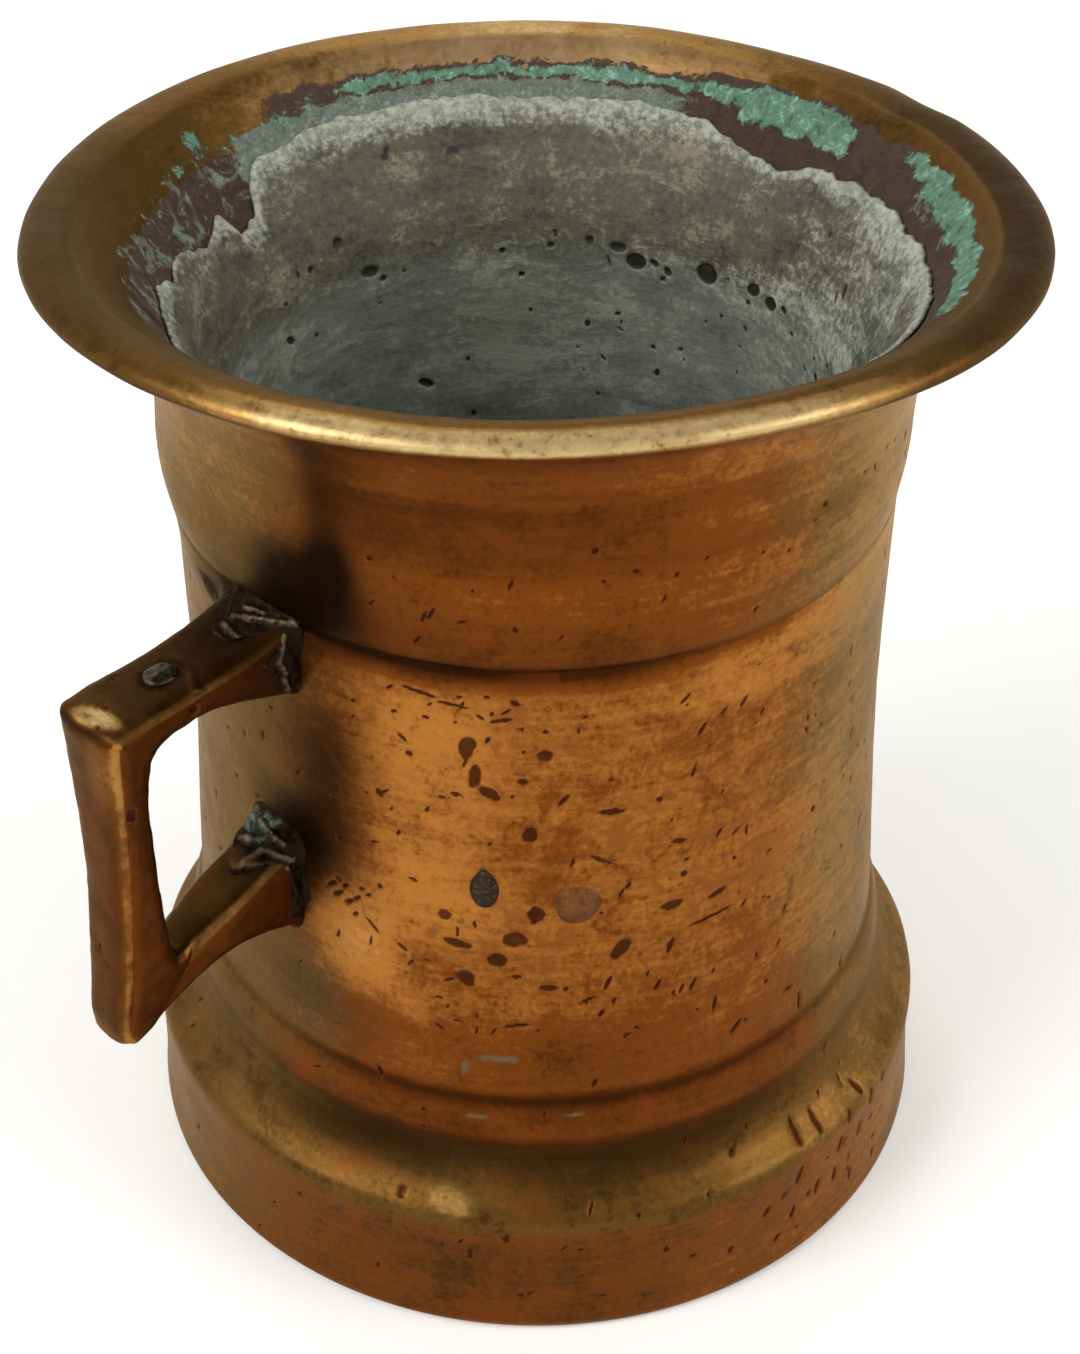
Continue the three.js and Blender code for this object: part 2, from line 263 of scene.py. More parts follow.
def small_marks(count, seed, zones, long_share):
    """Many small marks of the sort above, strewn over zones of angle and height."""
    strewn = random.Random(seed)
    marks = []
    for _ in range(count):
        first, last, low, high = strewn.choice(zones)
        angle = strewn.uniform(first, last) % 360.0
        level = strewn.uniform(low, high)
        if strewn.random() < long_share:
            length = strewn.uniform(0.9, 2.2)
            marks.append((angle, level, length, strewn.uniform(0.4, 0.55), strewn.gauss(60, 18)))
        else:
            length = strewn.uniform(0.55, 1.2)
            marks.append((angle, level, length, length * strewn.uniform(0.5, 0.9),
                          strewn.uniform(0, 180)))
    return marks


# Bench work shared by the pieces

def link_object(name, data):
    made = bpy.data.objects.new(name, data)
    bpy.context.scene.collection.objects.link(made)
    return made


def finish_mesh(bm, name):
    """Turn a bmesh in millimetres into a smooth object in metres."""
    bmesh.ops.scale(bm, vec=(MM, MM, MM), verts=bm.verts)
    mesh = bpy.data.meshes.new(name)
    bm.to_mesh(mesh)
    bm.free()
    mesh.shade_smooth()
    return link_object(name, mesh)


def spin_profile(profile, columns):
    """Turn a chain of radius and height points once round the upright axis."""
    bm = bmesh.new()
    chain = [bm.verts.new((radius, 0.0, height)) for radius, height in profile]
    edges = [bm.edges.new(pair) for pair in zip(chain, chain[1:])]
    bmesh.ops.spin(bm, geom=chain + edges, cent=(0, 0, 0), axis=(0, 0, 1),
                   angle=2 * math.pi, steps=columns, use_merge=True)
    bmesh.ops.remove_doubles(bm, verts=bm.verts, dist=1e-4)
    bmesh.ops.recalc_face_normals(bm, faces=bm.faces)
    return bm


def refine_near(bm, marks, keep, margin, cuts):
    """Divide the faces that a mark touches, so that the mark gets a clean shape."""
    faces = [f for f in bm.faces if keep(f)]
    middles = np.array([f.calc_center_median() for f in faces])
    angle = np.degrees(np.arctan2(middles[:, 1], middles[:, 0])) % 360.0
    radius = np.hypot(middles[:, 0], middles[:, 1])
    touched = np.zeros(len(faces), bool)
    for at, level, length, width, tilt in marks:
        grown = (at, level, length + margin, width + margin, tilt)
        touched |= mark_depth(angle, middles[:, 2], radius, grown) > 0
    edges = {edge for face, hit in zip(faces, touched) if hit for edge in face.edges}
    bmesh.ops.subdivide_edges(bm, edges=sorted(edges, key=lambda e: e.index), cuts=cuts,
                              use_grid_fill=True)


def places(bm):
    """Vertices of a bmesh as arrays: points, normals, angle, radius and height."""
    bm.normal_update()
    bm.verts.ensure_lookup_table()
    points = np.array([v.co for v in bm.verts])
    normals = np.array([v.normal for v in bm.verts])
    angle = np.degrees(np.arctan2(points[:, 1], points[:, 0])) % 360.0
    radius = np.hypot(points[:, 0], points[:, 1])
    return points, normals, angle, radius, points[:, 2]


def move_to(bm, points):
    for vertex, place in zip(bm.verts, points):
        vertex.co = place


def paint(piece, name, red, green, blue):
    """Three masks, from 0 to 1 at each vertex, that the piece's material reads by name."""
    layer = piece.data.attributes.new(name, "FLOAT_COLOR", "POINT")
    values = np.stack([np.clip(mask, 0, 1) for mask in (red, green, blue)]
                      + [np.ones(len(piece.data.vertices))], axis=1)
    layer.data.foreach_set("color", values.astype(np.float32).ravel())


# Materials

def linear(hex_colour):
    """A colour written as sRGB hex, as the linear colour that the shader takes."""
    channels = [int(hex_colour[i:i + 2], 16) / 255 for i in (0, 2, 4)]
    return [c / 12.92 if c <= 0.04045 else ((c + 0.055) / 1.055) ** 2.4 for c in channels] + [1.0]


def add(tree, kind, settings=None, **links):
    """Add one node, set its options and sockets, and link sockets to other nodes' outputs.
    A socket is named by its label with underscores, or by its number after the letter i."""
    made = tree.nodes.new("ShaderNode" + kind)
    for name, value in (settings or {}).items():
        if isinstance(name, str) and hasattr(made, name):
            setattr(made, name, value)
        else:
            made.inputs[name].default_value = value
    for name, source in links.items():
        socket = int(name[1:]) if name[0] == "i" and name[1:].isdigit() else name.replace("_", " ")
        tree.links.new(source, made.inputs[socket])
    return made


def new_material(name):
    material = bpy.data.materials.new(name)
    material.use_nodes = True
    tree = material.node_tree
    tree.nodes.clear()
    return material, tree


def close_material(tree, shader):
    add(tree, "OutputMaterial", Surface=shader.outputs[0])


def close_metal(tree, colour, metal, roughness, relief, strength, depth, tint="FFFFFF"):
    """End a metal's material. metal is a mask or one number; depth is the bump's, in
    millimetres; tint colours the reflection where the metal is seen at a flat angle."""
    bump = add(tree, "Bump", {"Strength": strength, "Distance": depth * MM}, Height=relief)
    settings = {"Specular Tint": linear(tint)}
    links = {}
    if isinstance(metal, float):
        settings["Metallic"] = metal
    else:
        links["Metallic"] = metal
    shader = add(tree, "BsdfPrincipled", settings, Base_Color=colour, Roughness=roughness,
                 Normal=bump.outputs[0], **links)
    close_material(tree, shader)


def pattern_place(tree, stretch=(1, 1, 1)):
    """Object coordinates in millimetres, stretched for a pattern that runs one way."""
    coordinates = add(tree, "TexCoord")
    scaled = [share / MM for share in stretch]
    return add(tree, "Mapping", {"Scale": scaled}, Vector=coordinates.outputs["Object"])


def grain(tree, size, place, detail=4.0, roughness=0.6, distortion=0.0):
    """Noise whose features are size millimetres wide."""
    return add(tree, "TexNoise", {"Scale": 1.0 / size, "Detail": detail, "Roughness": roughness,
                                  "Distortion": distortion}, Vector=place.outputs[0]).outputs["Fac"]


def remap(tree, source, low, high, to_low=0.0, to_high=1.0):
    """Stretch part of a mask's range over another range, with soft ends."""
    return add(tree, "MapRange", {"interpolation_type": "SMOOTHSTEP", "From Min": low,
                                  "From Max": high, "To Min": to_low, "To Max": to_high},
               Value=source).outputs[0]


def maths(tree, operation, first, second):
    settings = {"operation": operation}
    links = {}
    for index, value in enumerate((first, second)):
        if isinstance(value, (int, float)):
            settings[index] = value
        else:
            links[f"i{index}"] = value
    return add(tree, "Math", settings, **links).outputs[0]


def blend_colour(tree, share, below, above):
    """Lay one colour over another by a mask. A colour is a hex value or another node's output."""
    settings = {"data_type": "RGBA"}
    links = {"i0": share}
    for index, colour in ((6, below), (7, above)):
        if isinstance(colour, str):
            settings[index] = linear(colour)
        else:
            links[f"i{index}"] = colour
    return add(tree, "Mix", settings, **links).outputs[2]


def masks(tree, name):
    """The three masks that paint() stored under a name."""
    read = add(tree, "Attribute", {"attribute_name": name})
    split = add(tree, "SeparateColor", Color=read.outputs["Color"])
    return split.outputs[0], split.outputs[1], split.outputs[2]


def ragged(tree, mask, texture, sharpness=0.12, pull=0.55):
    """Cut a soft mask with a texture, so that its edge follows the texture."""
    pulled = maths(tree, "MULTIPLY", maths(tree, "SUBTRACT", texture, 0.5), pull)
    pulled = maths(tree, "MULTIPLY", pulled, remap(tree, mask, 0.0, 0.25))
    mixed = maths(tree, "ADD", mask, pulled)
    return remap(tree, mixed, 0.5 - sharpness, 0.5 + sharpness)


def uneven(tree, base, *textures):
    """Add textures to a mask, each by an amount either way."""
    for texture, amount in textures:
        swing = maths(tree, "MULTIPLY", maths(tree, "SUBTRACT", texture, 0.5), amount)
        base = maths(tree, "ADD", base, swing)
    return base


def ramp(tree, share, *stops):
    """A colour that changes with a mask, through stops of mask value and colour."""
    colour = stops[0][1]
    for (low, _), (high, above) in zip(stops, stops[1:]):
        colour = blend_colour(tree, remap(tree, share, low, high), colour, above)
    return colour


def cast_bronze(name, body=True):
    """Cast and turned bronze with a mottled patina, worn golden where it is handled, with painted shade
    and highlight from its masks.
    The eye sees a soft metal sheen, copper brown on the wall, olive brown on lip and sides."""
    material, tree = new_material(name)
    here = pattern_place(tree)
    lines = pattern_place(tree, (0.07, 0.07, 1.3) if body else (0.7, 0.7, 0.7))
    cloud = grain(tree, 16.0, here, 4.0, 0.6, 0.5)
    mottle = grain(tree, 4.4, here, 6.0, 0.66, 0.6)
    fine = grain(tree, 0.8, here, 4.0, 0.66)
    turning = grain(tree, 1.2, lines, 3.0, 0.6)
    # dark holds soot and painted shade, gold holds wear and painted highlight, red the copper brown
    # share
    dark, gold, red = masks(tree, "patina")
    cavity, grey, green = masks(tree, "marks")

    worn = uneven(tree, gold, (cloud, 0.5), (mottle, 0.6), (fine, 0.4), (turning, 0.25))
    worn = maths(tree, "MINIMUM", worn, maths(tree, "ADD", gold, 0.22))
    swing = maths(tree, "MAXIMUM", maths(tree, "SUBTRACT", worn, gold), -0.24)
    swing = maths(tree, "MULTIPLY", swing, remap(tree, gold, 0.1, 0.32, 0.35, 1.0))
    worn = maths(tree, "ADD", gold, swing)
    olive = ramp(tree, worn, (0.0, "33230E"), (0.35, "664A22"), (0.7, "9C7742"), (1.1, "D6BB86"))
    copper = ramp(tree, worn, (0.0, "3E1D09"), (0.35, "733D13"), (0.7, "AE7130"), (1.1, "DCA75A"))
    family = remap(tree, uneven(tree, red, (mottle, 0.5), (cloud, 0.6)), 0.15, 0.85)
    colour = blend_colour(tree, family, olive, copper)
    rust = remap(tree, uneven(tree, cloud, (mottle, 1.0)), 0.55, 0.7)
    rust = maths(tree, "MULTIPLY", maths(tree, "MULTIPLY", rust, red), 0.6)
    colour = blend_colour(tree, rust, colour, "6E3416")
    freckle = remap(tree, maths(tree, "MULTIPLY", mottle, fine), 0.19, 0.13)
    colour = blend_colour(tree, maths(tree, "MULTIPLY", freckle, 0.4), colour, "522B10")
    shade = uneven(tree, dark, (mottle, 0.22), (cloud, 0.2))
    colour = blend_colour(tree, remap(tree, shade, 0.0, 1.0), colour, "1E0F06")
    # The grey mask lays a dull paler brown: a grey bloom, and a painted pale reflection and highlight on
    # the wall's left and on the far inner flare
    dull = ramp(tree, worn, (0.25, "57422A"), (0.8, "A98C6C"))
    colour = blend_colour(tree, ragged(tree, grey, mottle, 0.35, 0.6), colour, dull)
    colour = blend_colour(tree, ragged(tree, green, fine, 0.25, 0.8), colour, "565038")
    hole = ragged(tree, cavity, uneven(tree, mottle, (fine, 0.8)), 0.3, 1.0)
    hole_colour = ramp(tree, uneven(tree, cavity, (mottle, 0.7)), (0.55, "6B361D"), (0.9, "34150A"))
    colour = blend_colour(tree, maths(tree, "MULTIPLY", hole, 0.9), colour, hole_colour)

    roughness = maths(tree, "ADD", remap(tree, mottle, 0.3, 0.7, 0.36, 0.5),
                      maths(tree, "MULTIPLY", dark, 0.12))
    metal = remap(tree, green, 0.1, 0.6, 1.0, 0.4)
    height = uneven(tree, maths(tree, "MULTIPLY", mottle, 1.3), (fine, 0.55), (turning, 0.3))

    if body:
        verdigris, cuprite, crust = masks(tree, "corrosion")
        flake = grain(tree, 1.5, here, 8.0, 0.72, 0.9)
        grit = grain(tree, 0.55, here, 4.0, 0.65)
        oxide = ragged(tree, cuprite, flake, 0.06, 0.9)
        patchy = grain(tree, 3.4, here, 6.0, 0.68, 1.0)
        oxide_colour = ramp(tree, flake, (0.3, "24140F"), (0.6, "402D25"), (0.8, "6B5A4D"))
        colour = blend_colour(tree, oxide, colour, oxide_colour)
        chalk = ragged(tree, crust, uneven(tree, patchy, (flake, 0.4)), 0.12, 1.5)
        chalk_colour = ramp(tree, uneven(tree, flake, (grit, 0.5)), (0.3, "464F44"), (0.5, "67736A"),
                            (0.74, "9EA899"))
        colour = blend_colour(tree, maths(tree, "MULTIPLY", chalk, 0.9), colour, chalk_colour)
        salts = ragged(tree, verdigris, uneven(tree, flake, (patchy, 0.8)), 0.1, 1.0)
        salt_colour = ramp(tree, uneven(tree, flake, (grit, 0.4), (patchy, 0.7)), (0.25, "33463A"),
                           (0.5, "577D69"), (0.75, "8CB59E"))
        colour = blend_colour(tree, salts, colour, salt_colour)
        corroded = maths(tree, "MAXIMUM", oxide, maths(tree, "MAXIMUM", salts, chalk))
        metal = maths(tree, "MULTIPLY", metal, remap(tree, corroded, 0.0, 1.0, 1.0, 0.0))
        roughness = maths(tree, "MAXIMUM", roughness, maths(tree, "MULTIPLY", corroded, 0.75))
        height = maths(tree, "ADD", height, maths(tree, "MULTIPLY", salts, 2.2))
        height = maths(tree, "ADD", height, maths(tree, "MULTIPLY", chalk, 1.2))
        flaking = maths(tree, "MULTIPLY", flake, corroded)
        height = maths(tree, "ADD", height, maths(tree, "MULTIPLY", flaking, 4.0))

    close_metal(tree, colour, metal, roughness, height, 0.5, 0.12, "FCECD8")
    return material


def tarnished_tin():
    """Hot dipped tin, grey and dull with age. The eye sees a matt skin, olive and speckled
    above and bluer below, with a chalky top edge and black pits."""
    material, tree = new_material("tarnished_tin")
    here = pattern_place(tree)
    wiped = pattern_place(tree, (0.4, 0.4, 1.2))
    cloud = grain(tree, 15.0, here, 5.0, 0.6, 0.4)
    mottle = grain(tree, 3.4, wiped, 7.0, 0.7, 0.5)
    speck = grain(tree, 0.9, here, 5.0, 0.72)
    pit, pale, olive = masks(tree, "tinning")
    blue = ramp(tree, uneven(tree, cloud, (mottle, 0.7), (speck, 0.5)), (0.3, "60665C"), (0.5, "7B8177"),
                (0.7, "9BA194"))
    warm = ramp(tree, uneven(tree, mottle, (cloud, 0.6), (speck, 0.9)), (0.25, "38352A"),
                (0.5, "555141"), (0.75, "857F67"))
    colour = blend_colour(tree, remap(tree, uneven(tree, olive, (cloud, 0.8)), 0.2, 0.8), blue, warm)
    crust = ragged(tree, pale, uneven(tree, mottle, (speck, 0.8)), 0.3, 1.1)
    chalk = ramp(tree, uneven(tree, speck, (mottle, 0.5)), (0.35, "7C8272"), (0.65, "B5B8A6"))
    colour = blend_colour(tree, maths(tree, "MULTIPLY", crust, 0.85), colour, chalk)
    hole = ragged(tree, pit, speck, 0.22, 0.6)
    colour = blend_colour(tree, hole, colour, "1B1710")
    roughness = remap(tree, mottle, 0.3, 0.7, 0.5, 0.7)
    metal = remap(tree, maths(tree, "MAXIMUM", pit, pale), 0.1, 0.9, 0.25, 0.03)
    height = uneven(tree, maths(tree, "MULTIPLY", mottle, 2.4), (speck, 1.4))
    close_metal(tree, colour, metal, roughness, height, 0.7, 0.14)
    return material


def burnt_braze():
    """Brass brazing metal, run on with a torch and left black with flux and soot.
    It is half glossy, with raised ridges painted pale as worn metal and painted highlight, and green
    salts in its hollows."""
    material, tree = new_material("burnt_braze")
    here = pattern_place(tree)
    lumps = grain(tree, 2.4, here, 6.0, 0.65, 0.6)
    fine = grain(tree, 0.6, here, 4.0, 0.65)
    bright, teal, brown = masks(tree, "braze")
    colour = ramp(tree, lumps, (0.35, "0E0704"), (0.65, "281C12"))
    colour = blend_colour(tree, ragged(tree, brown, lumps, 0.3, 0.7), colour, "5C3A1C")
    salts = ramp(tree, uneven(tree, lumps, (fine, 0.4)), (0.38, "1D2826"), (0.66, "6F857F"))
    colour = blend_colour(tree, ragged(tree, teal, lumps, 0.2, 1.0), colour, salts)
    # Ridges painted pale: worn metal with a painted highlight on it
    ridge = maths(tree, "MULTIPLY", bright, remap(tree, uneven(tree, fine, (lumps, 0.8)), 0.35, 0.6))
    colour = blend_colour(tree, ridge, colour, "7A6A54")
    metal = remap(tree, teal, 0.3, 0.8, 0.95, 0.2)
    roughness = remap(tree, lumps, 0.3, 0.7, 0.34, 0.55)
    height = uneven(tree, maths(tree, "MULTIPLY", lumps, 2.5), (fine, 0.8))
    close_metal(tree, colour, metal, roughness, height, 0.6, 0.15, "F0E0CC")
    return material


def plug_metal(name, deep, light, roughness):
    """A soft metal plug, hammered flush and dulled: a grainy matt spot in the bronze."""
    material, tree = new_material(name)
    here = pattern_place(tree)
    mottle = grain(tree, 1.6, here, 5.0, 0.65, 0.4)
    fine = grain(tree, 0.35, here, 3.0, 0.6)
    colour = blend_colour(tree, remap(tree, mottle, 0.35, 0.65), deep, light)
    dust = maths(tree, "MULTIPLY", remap(tree, fine, 0.5, 0.7), 0.3)
    colour = blend_colour(tree, dust, colour, "8A7350")
    spread = remap(tree, mottle, 0.3, 0.7, roughness - 0.08, roughness + 0.08)
    height = maths(tree, "ADD", maths(tree, "MULTIPLY", mottle, 1.5), maths(tree, "MULTIPLY", fine, 0.6))
    close_metal(tree, colour, 0.75, spread, height, 0.5, 0.1)
    return material


# The casting

def rim_shape(points, angle, height):
    """The lip isn't true: it is pushed in at the front and drawn out at the back, with a dent
    behind on the right. The collar bulges on the far left."""
    share = smooth(height, 111.0, 128.0)
    out = share * (-1.9 * bell(angle, FRONT, 80) - 0.7 * bell(angle, 250, 32) + 1.3 * bell(angle, 62, 80)
                   - 1.0 * bell(angle, 14, 26) - 0.7 * bell(angle, 347, 7))
    out += 0.8 * bell(angle, 150, 36) * hump(height, 103.0, 12.0)
    reach = np.hypot(points[:, 0], points[:, 1])
    out += 1.7 * bell(angle, FRONT, 110) * smooth(height, 126.0, 130.4) * smooth(reach, 55.6, 51.5)
    lift = share * (1.2 * bell(angle, FRONT, 95) + 0.3 * bell(angle, 45, 80))
    lean = np.radians(angle)
    points[:, 0] += out * np.cos(lean)
    points[:, 1] += out * np.sin(lean)
    points[:, 2] += lift
    return points


# How bright the wall is by height, at the front, to the right and to the left: 0 is brown, 1 bright. It
# is wear, except the dips at the front in the step at 34.4, the foot's cove, the groove, and under the
# collar's flare and the lip, which are painted shade
WEAR_AND_SHADE_FRONT = (
    (0, 0.28), (3, 0.24), (14, 0.22), (17, 0.3), (20, 0.27), (22, 0.16), (25, 0.07), (27, 0.07),
    (29, 0.24), (33, 0.2), (34.4, 0.02), (36, 0.33), (42, 0.28), (48, 0.44), (60, 0.5), (80, 0.49),
    (91, 0.5), (95.6, 0.48), (97.5, 0.22), (98.5, 0.0), (100, 0.2), (103.5, 0.24), (105.4, 0.36),
    (108.2, 0.37), (110.0, 0.2), (117.4, 0.14), (118.6, 0.34), (123, 0.34), (127, 0.12),
)
WEAR_RIGHT = (
    (0, 0.5), (17, 0.47), (22, 0.42), (26, 0.36), (33, 0.42), (34.4, 0.3), (36, 0.5), (97, 0.52),
    (98.5, 0.42), (104, 0.5), (108, 0.56), (115, 0.48), (120, 0.4), (127, 0.36),
)
WEAR_LEFT = (
    (0, 0.4), (17, 0.34), (22, 0.24), (33, 0.26), (36, 0.32), (97, 0.3), (100, 0.32), (110, 0.46),
    (125, 0.5),
)
# How worn the lip's flat top is, by angle; at the back, where it faces the light, the brightness is a
# painted highlight
WEAR_AND_HIGHLIGHT_LIP = (
    (0, 0.34), (45, 0.92), (80, 0.5), (98, 0.26), (140, 0.1), (180, 0.16), (205, 0.26), (225, 0.32),
    (250, 0.24), (280, 0.1), (300, 0.03), (345, 0.08), (360, 0.26),
)
# Soft patches of the wall: strength, middle angle and its half width, middle height and its half
WORN_PATCHES = (
    (0.36, 196, 12, 54.5, 11.0), (0.14, 211, 20, 44.0, 12.0), (0.08, 217, 10, 22.0, 5.0),
    (0.15, 257, 18, 41.0, 10.0), (0.13, 263, 17, 21.5, 4.5), (0.08, 263, 17, 101.0, 4.0),
)
# Darker patches: soot by the handle's roots, and painted shade in the groove, in the foot's cove and
# where the handle shades the wall
SOOT_AND_SHADE_PATCHES = (
    (0.5, 210, 26, GROOVE, 1.3), (0.3, 228, 34, 118.7, 0.6), (0.24, 225, 80, 24.5, 4.0),
    (0.3, 186, 9, 63.0, 9.0), (0.88, 191, 15, 103.5, 8.5), (0.16, 195, 28, 103.0, 11.0),
    (0.2, 180, 16, 104.0, 6.0), (0.22, 196, 20, 25.0, 6.5), (0.2, 188, 15, 21.0, 5.0),
    (0.16, 188, 15, 42.0, 8.0), (0.5, 175, 18, 98.5, 6.0), (0.5, 166, 11, 95.0, 3.2),
    (0.4, 181, 11, 68.5, 6.0),
)
GREY_PATCHES = ((0.36, 188, 15, 41.0, 12.0), (0.16, 204, 18, 31.0, 4.0))


def round_value(table, place):
    """Read a table of places and values, with even changes between."""
    return np.interp(place, [a for a, _ in table], [v for _, v in table])


def soft_patches(table, angle, height):
    return sum(strength * bell(angle, at, wide) * hump(height, level, tall)
               for strength, at, wide, level, tall in table)


def body_colours(angle, height, radius, inside, drift):
    """Where the casting is dark with soot and painted shade, golden with wear and painted highlight, or
    copper brown rather than olive.
    drift makes the sides of the copper brown part wander."""
    lip = smooth(height, 126.5, 129.0) * (radius > 50)
    nose = lip * smooth(radius, 55.4, 57.0)
    barrel = band(height, 34.5, GROOVE, 0.6)
    aside = turn(angle, 227)
    right = smooth(aside, 28, 64)
    left = smooth(aside, -24, -56)
    shared = 0.5 * smooth(np.abs(aside), 140, 180)
    right, left = right * (1 - shared) + left * shared, left * (1 - shared) + right * shared
    # Bright wear, with painted shade in the dips of the tables: first by height, then patches at the
    # front left and the front right
    gold = (round_value(WEAR_AND_SHADE_FRONT, height) * (1 - right - left)
            + round_value(WEAR_RIGHT, height) * right + round_value(WEAR_LEFT, height) * left)
    gold += soft_patches(WORN_PATCHES, angle, height)
    gold += 0.18 * bell(angle, 209, 15) * band(height, 60.0, 94.0, 6.0)
    gold += 0.1 * bell(angle, 250, 14) * smooth(height, 18, 14)
    gold += 0.1 * bell(angle, 258, 20) * band(height, 107, 117, 2)
    gold += 0.12 * bell(angle, 263, 17) * smooth(height, 17, 11)
    gold -= 0.04 * bell(angle, 259, 15) * band(height, 56.0, 84.0, 6.0)
    gold += smooth(aside, 4, 28) * (0.17 * band(height, 112, 124, 2) + 0.1 * band(height, 99, 106, 2)
                                    + 0.18 * hump(height, 97.5, 2.5) + 0.1 * band(height, 88, 97, 4))
    # The lip has its own wear; along its nose at the front a painted highlight makes it brightest
    gold = np.where(lip > 0, gold * (1 - lip) + lip * round_value(WEAR_AND_HIGHLIGHT_LIP, angle), gold)
    bead_highlight = lip * smooth(radius, 54.8, 56.3) * smooth(np.abs(aside), 48, 26)
    gold += np.maximum(nose * (0.1 + 0.66 * bell(angle, FRONT, 50)), bead_highlight * 0.7)
    # Painted shade under the lip's overhang: darker and less golden there
    shade_under_lip = smooth(height, 129.6, 128.8) * (radius > 54) * ~inside
    gold -= 0.35 * shade_under_lip
    # Copper brown covers the front: barrel, collar and flare, foot's top, foot, and scotia
    off = np.abs(turn(angle + drift, 228))
    off_foot = np.abs(turn(angle + drift, 232))
    red = (barrel * smooth(off, 60, 26)
           + band(height, GROOVE, 125.0, 0.6) * smooth(off, 54, 22)
           + band(height, 27.0, 34.5, 0.6) * smooth(off, 62, 28)
           + 0.7 * smooth(height, 18.5, 16.5) * smooth(off_foot, 78, 40)
           + 0.28 * band(height, 18.5, 27.0, 1.0) * smooth(off, 62, 28))
    red = 0.14 + 0.78 * red * (1 - lip) + 0.25 * bell(angle, 45, 110) * (1 - lip)
    red -= 0.4 * bell(angle, 188, 13) * hump(height, 40.0, 12.0)
    # Painted shade lies in the groove, the step and the foot's cove, and beside the handle's roots and
    # up to the lip lie soot and the painted shade and reflection of the handle
    dark = 0.1 + soft_patches(SOOT_AND_SHADE_PATCHES, angle, height)
    # Painted shade under the lip's overhang and in the step where the barrel meets the foot
    dark += 0.25 * shade_under_lip + 0.25 * hump(height, 34.4, 0.8)
    # Soot with the painted shade and reflection of the handle: beside it, between its arms, and in a
    # column above it up to the lip
    dark += 0.22 * bell(angle, 184, 22) * band(height, 36.0, 97.0, 6.0)
    dark += 0.42 * bell(angle, 192, 12.5) * band(height, 62.0, 86.0, 6.0)
    dark += 0.55 * bell(angle, 195.5, 6.0) * band(height, 106.0, 127.0, 3.0)
    dark += 0.1 * bell(angle, 60, 110) * (1 - lip) * smooth(height, 0, 10)
    dark += lip * (0.05 + 0.22 * bell(angle, 140, 60) + 0.36 * bell(angle, 308, 60))
    # The bare flare above the tin is brown; paler at the back, where it faces the light, is a painted
    # highlight
    dark = np.where(inside, 0.36 - 0.3 * bell(angle, 50, 76) + 0.1 * bell(angle, 118, 34), dark)
    gold = np.where(inside, 0.28 + 0.42 * bell(angle, 46, 66) + 0.04 * bell(angle, 105, 48), gold)
    return dark, gold, np.where(inside, 0.16, red)


# Height of the tin's ragged top edge round the bore
LINING_TOP = ((0, 121.5), (9, 122.5), (16, 124.5), (60, 125.0), (85, 124.5), (97, 123.3), (100, 121.4),
              (101.5, 118.8), (107, 117.8), (109.5, 120.4), (118, 119.4), (126, 121.2), (150, 121.0),
              (165, 122.0), (250, 123.5), (285, 125.0), (303, 124.2), (320, 123.5), (332, 123.8),
              (345, 123.4), (353, 122.9), (360, 121.6))
# What grows on the bare band above the tin: strength, angles and heights from and to, and how
# soft its ends are in angle and in height
VERDIGRIS = (
    (1.1, 349, 10, 125.0, 128.6, 4.0, 1.0), (0.96, 286, 338, 126.2, 129.1, 5.0, 1.1),
    (0.88, 6, 79, 126.5, 127.9, 6.0, 0.9), (0.55, 78, 116, 125.4, 127.0, 5.0, 0.8),
    (0.7, 103, 107, 126.5, 128.8, 2.0, 0.6),
)
CUPRITE = (
    (1.1, 286, 18, 119.0, 128.9, 2.0, 0.5), (0.95, 99, 150, 118.0, 125.2, 3.0, 0.8),
    (0.6, 150, 286, 119.0, 126.8, 5.0, 0.8), (0.6, 10, 92, 124.0, 128.7, 6.0, 0.7),
)
PALE_CRUST = (
    (0.95, 20, 100, 120.0, 126.3, 6.0, 0.7), (0.4, 96, 152, 119.0, 126.7, 5.0, 0.8),
    (0.45, 312, 334, 124.5, 128.0, 4.0, 0.8), (0.38, 150, 285, 120.0, 126.4, 6.0, 1.0),
)


def strongest(table, angle, height, rise):
    """The strongest growth of a table at each place; rise lifts the lower edges."""
    most = 0.0
    for strength, first, last, low, high, soft_angle, soft in table:
        half = ((last - first) % 360.0) / 2
        aside = np.abs(turn(angle, first + half))
        share = smooth(aside, half + soft_angle, half - soft_angle)
        most = np.maximum(most, share * band(height, low + rise, high, soft) * strength)
    return most


def corrosion(angle, height, inside, jitter):
    """Green salts, brown red oxide and pale crust on the bare band above the tin."""
    level = height + 0.7 * jitter
    # The green salts start higher in two places on the right
    rise = 1.1 * bell(angle, 334, 9) + 0.7 * bell(angle, 292, 24)
    grown = (strongest(VERDIGRIS, angle, level, rise), strongest(CUPRITE, angle, level, 0.0),
             strongest(PALE_CRUST, angle, level, 0.0))
    return tuple(np.where(inside, mask, 0) for mask in grown)


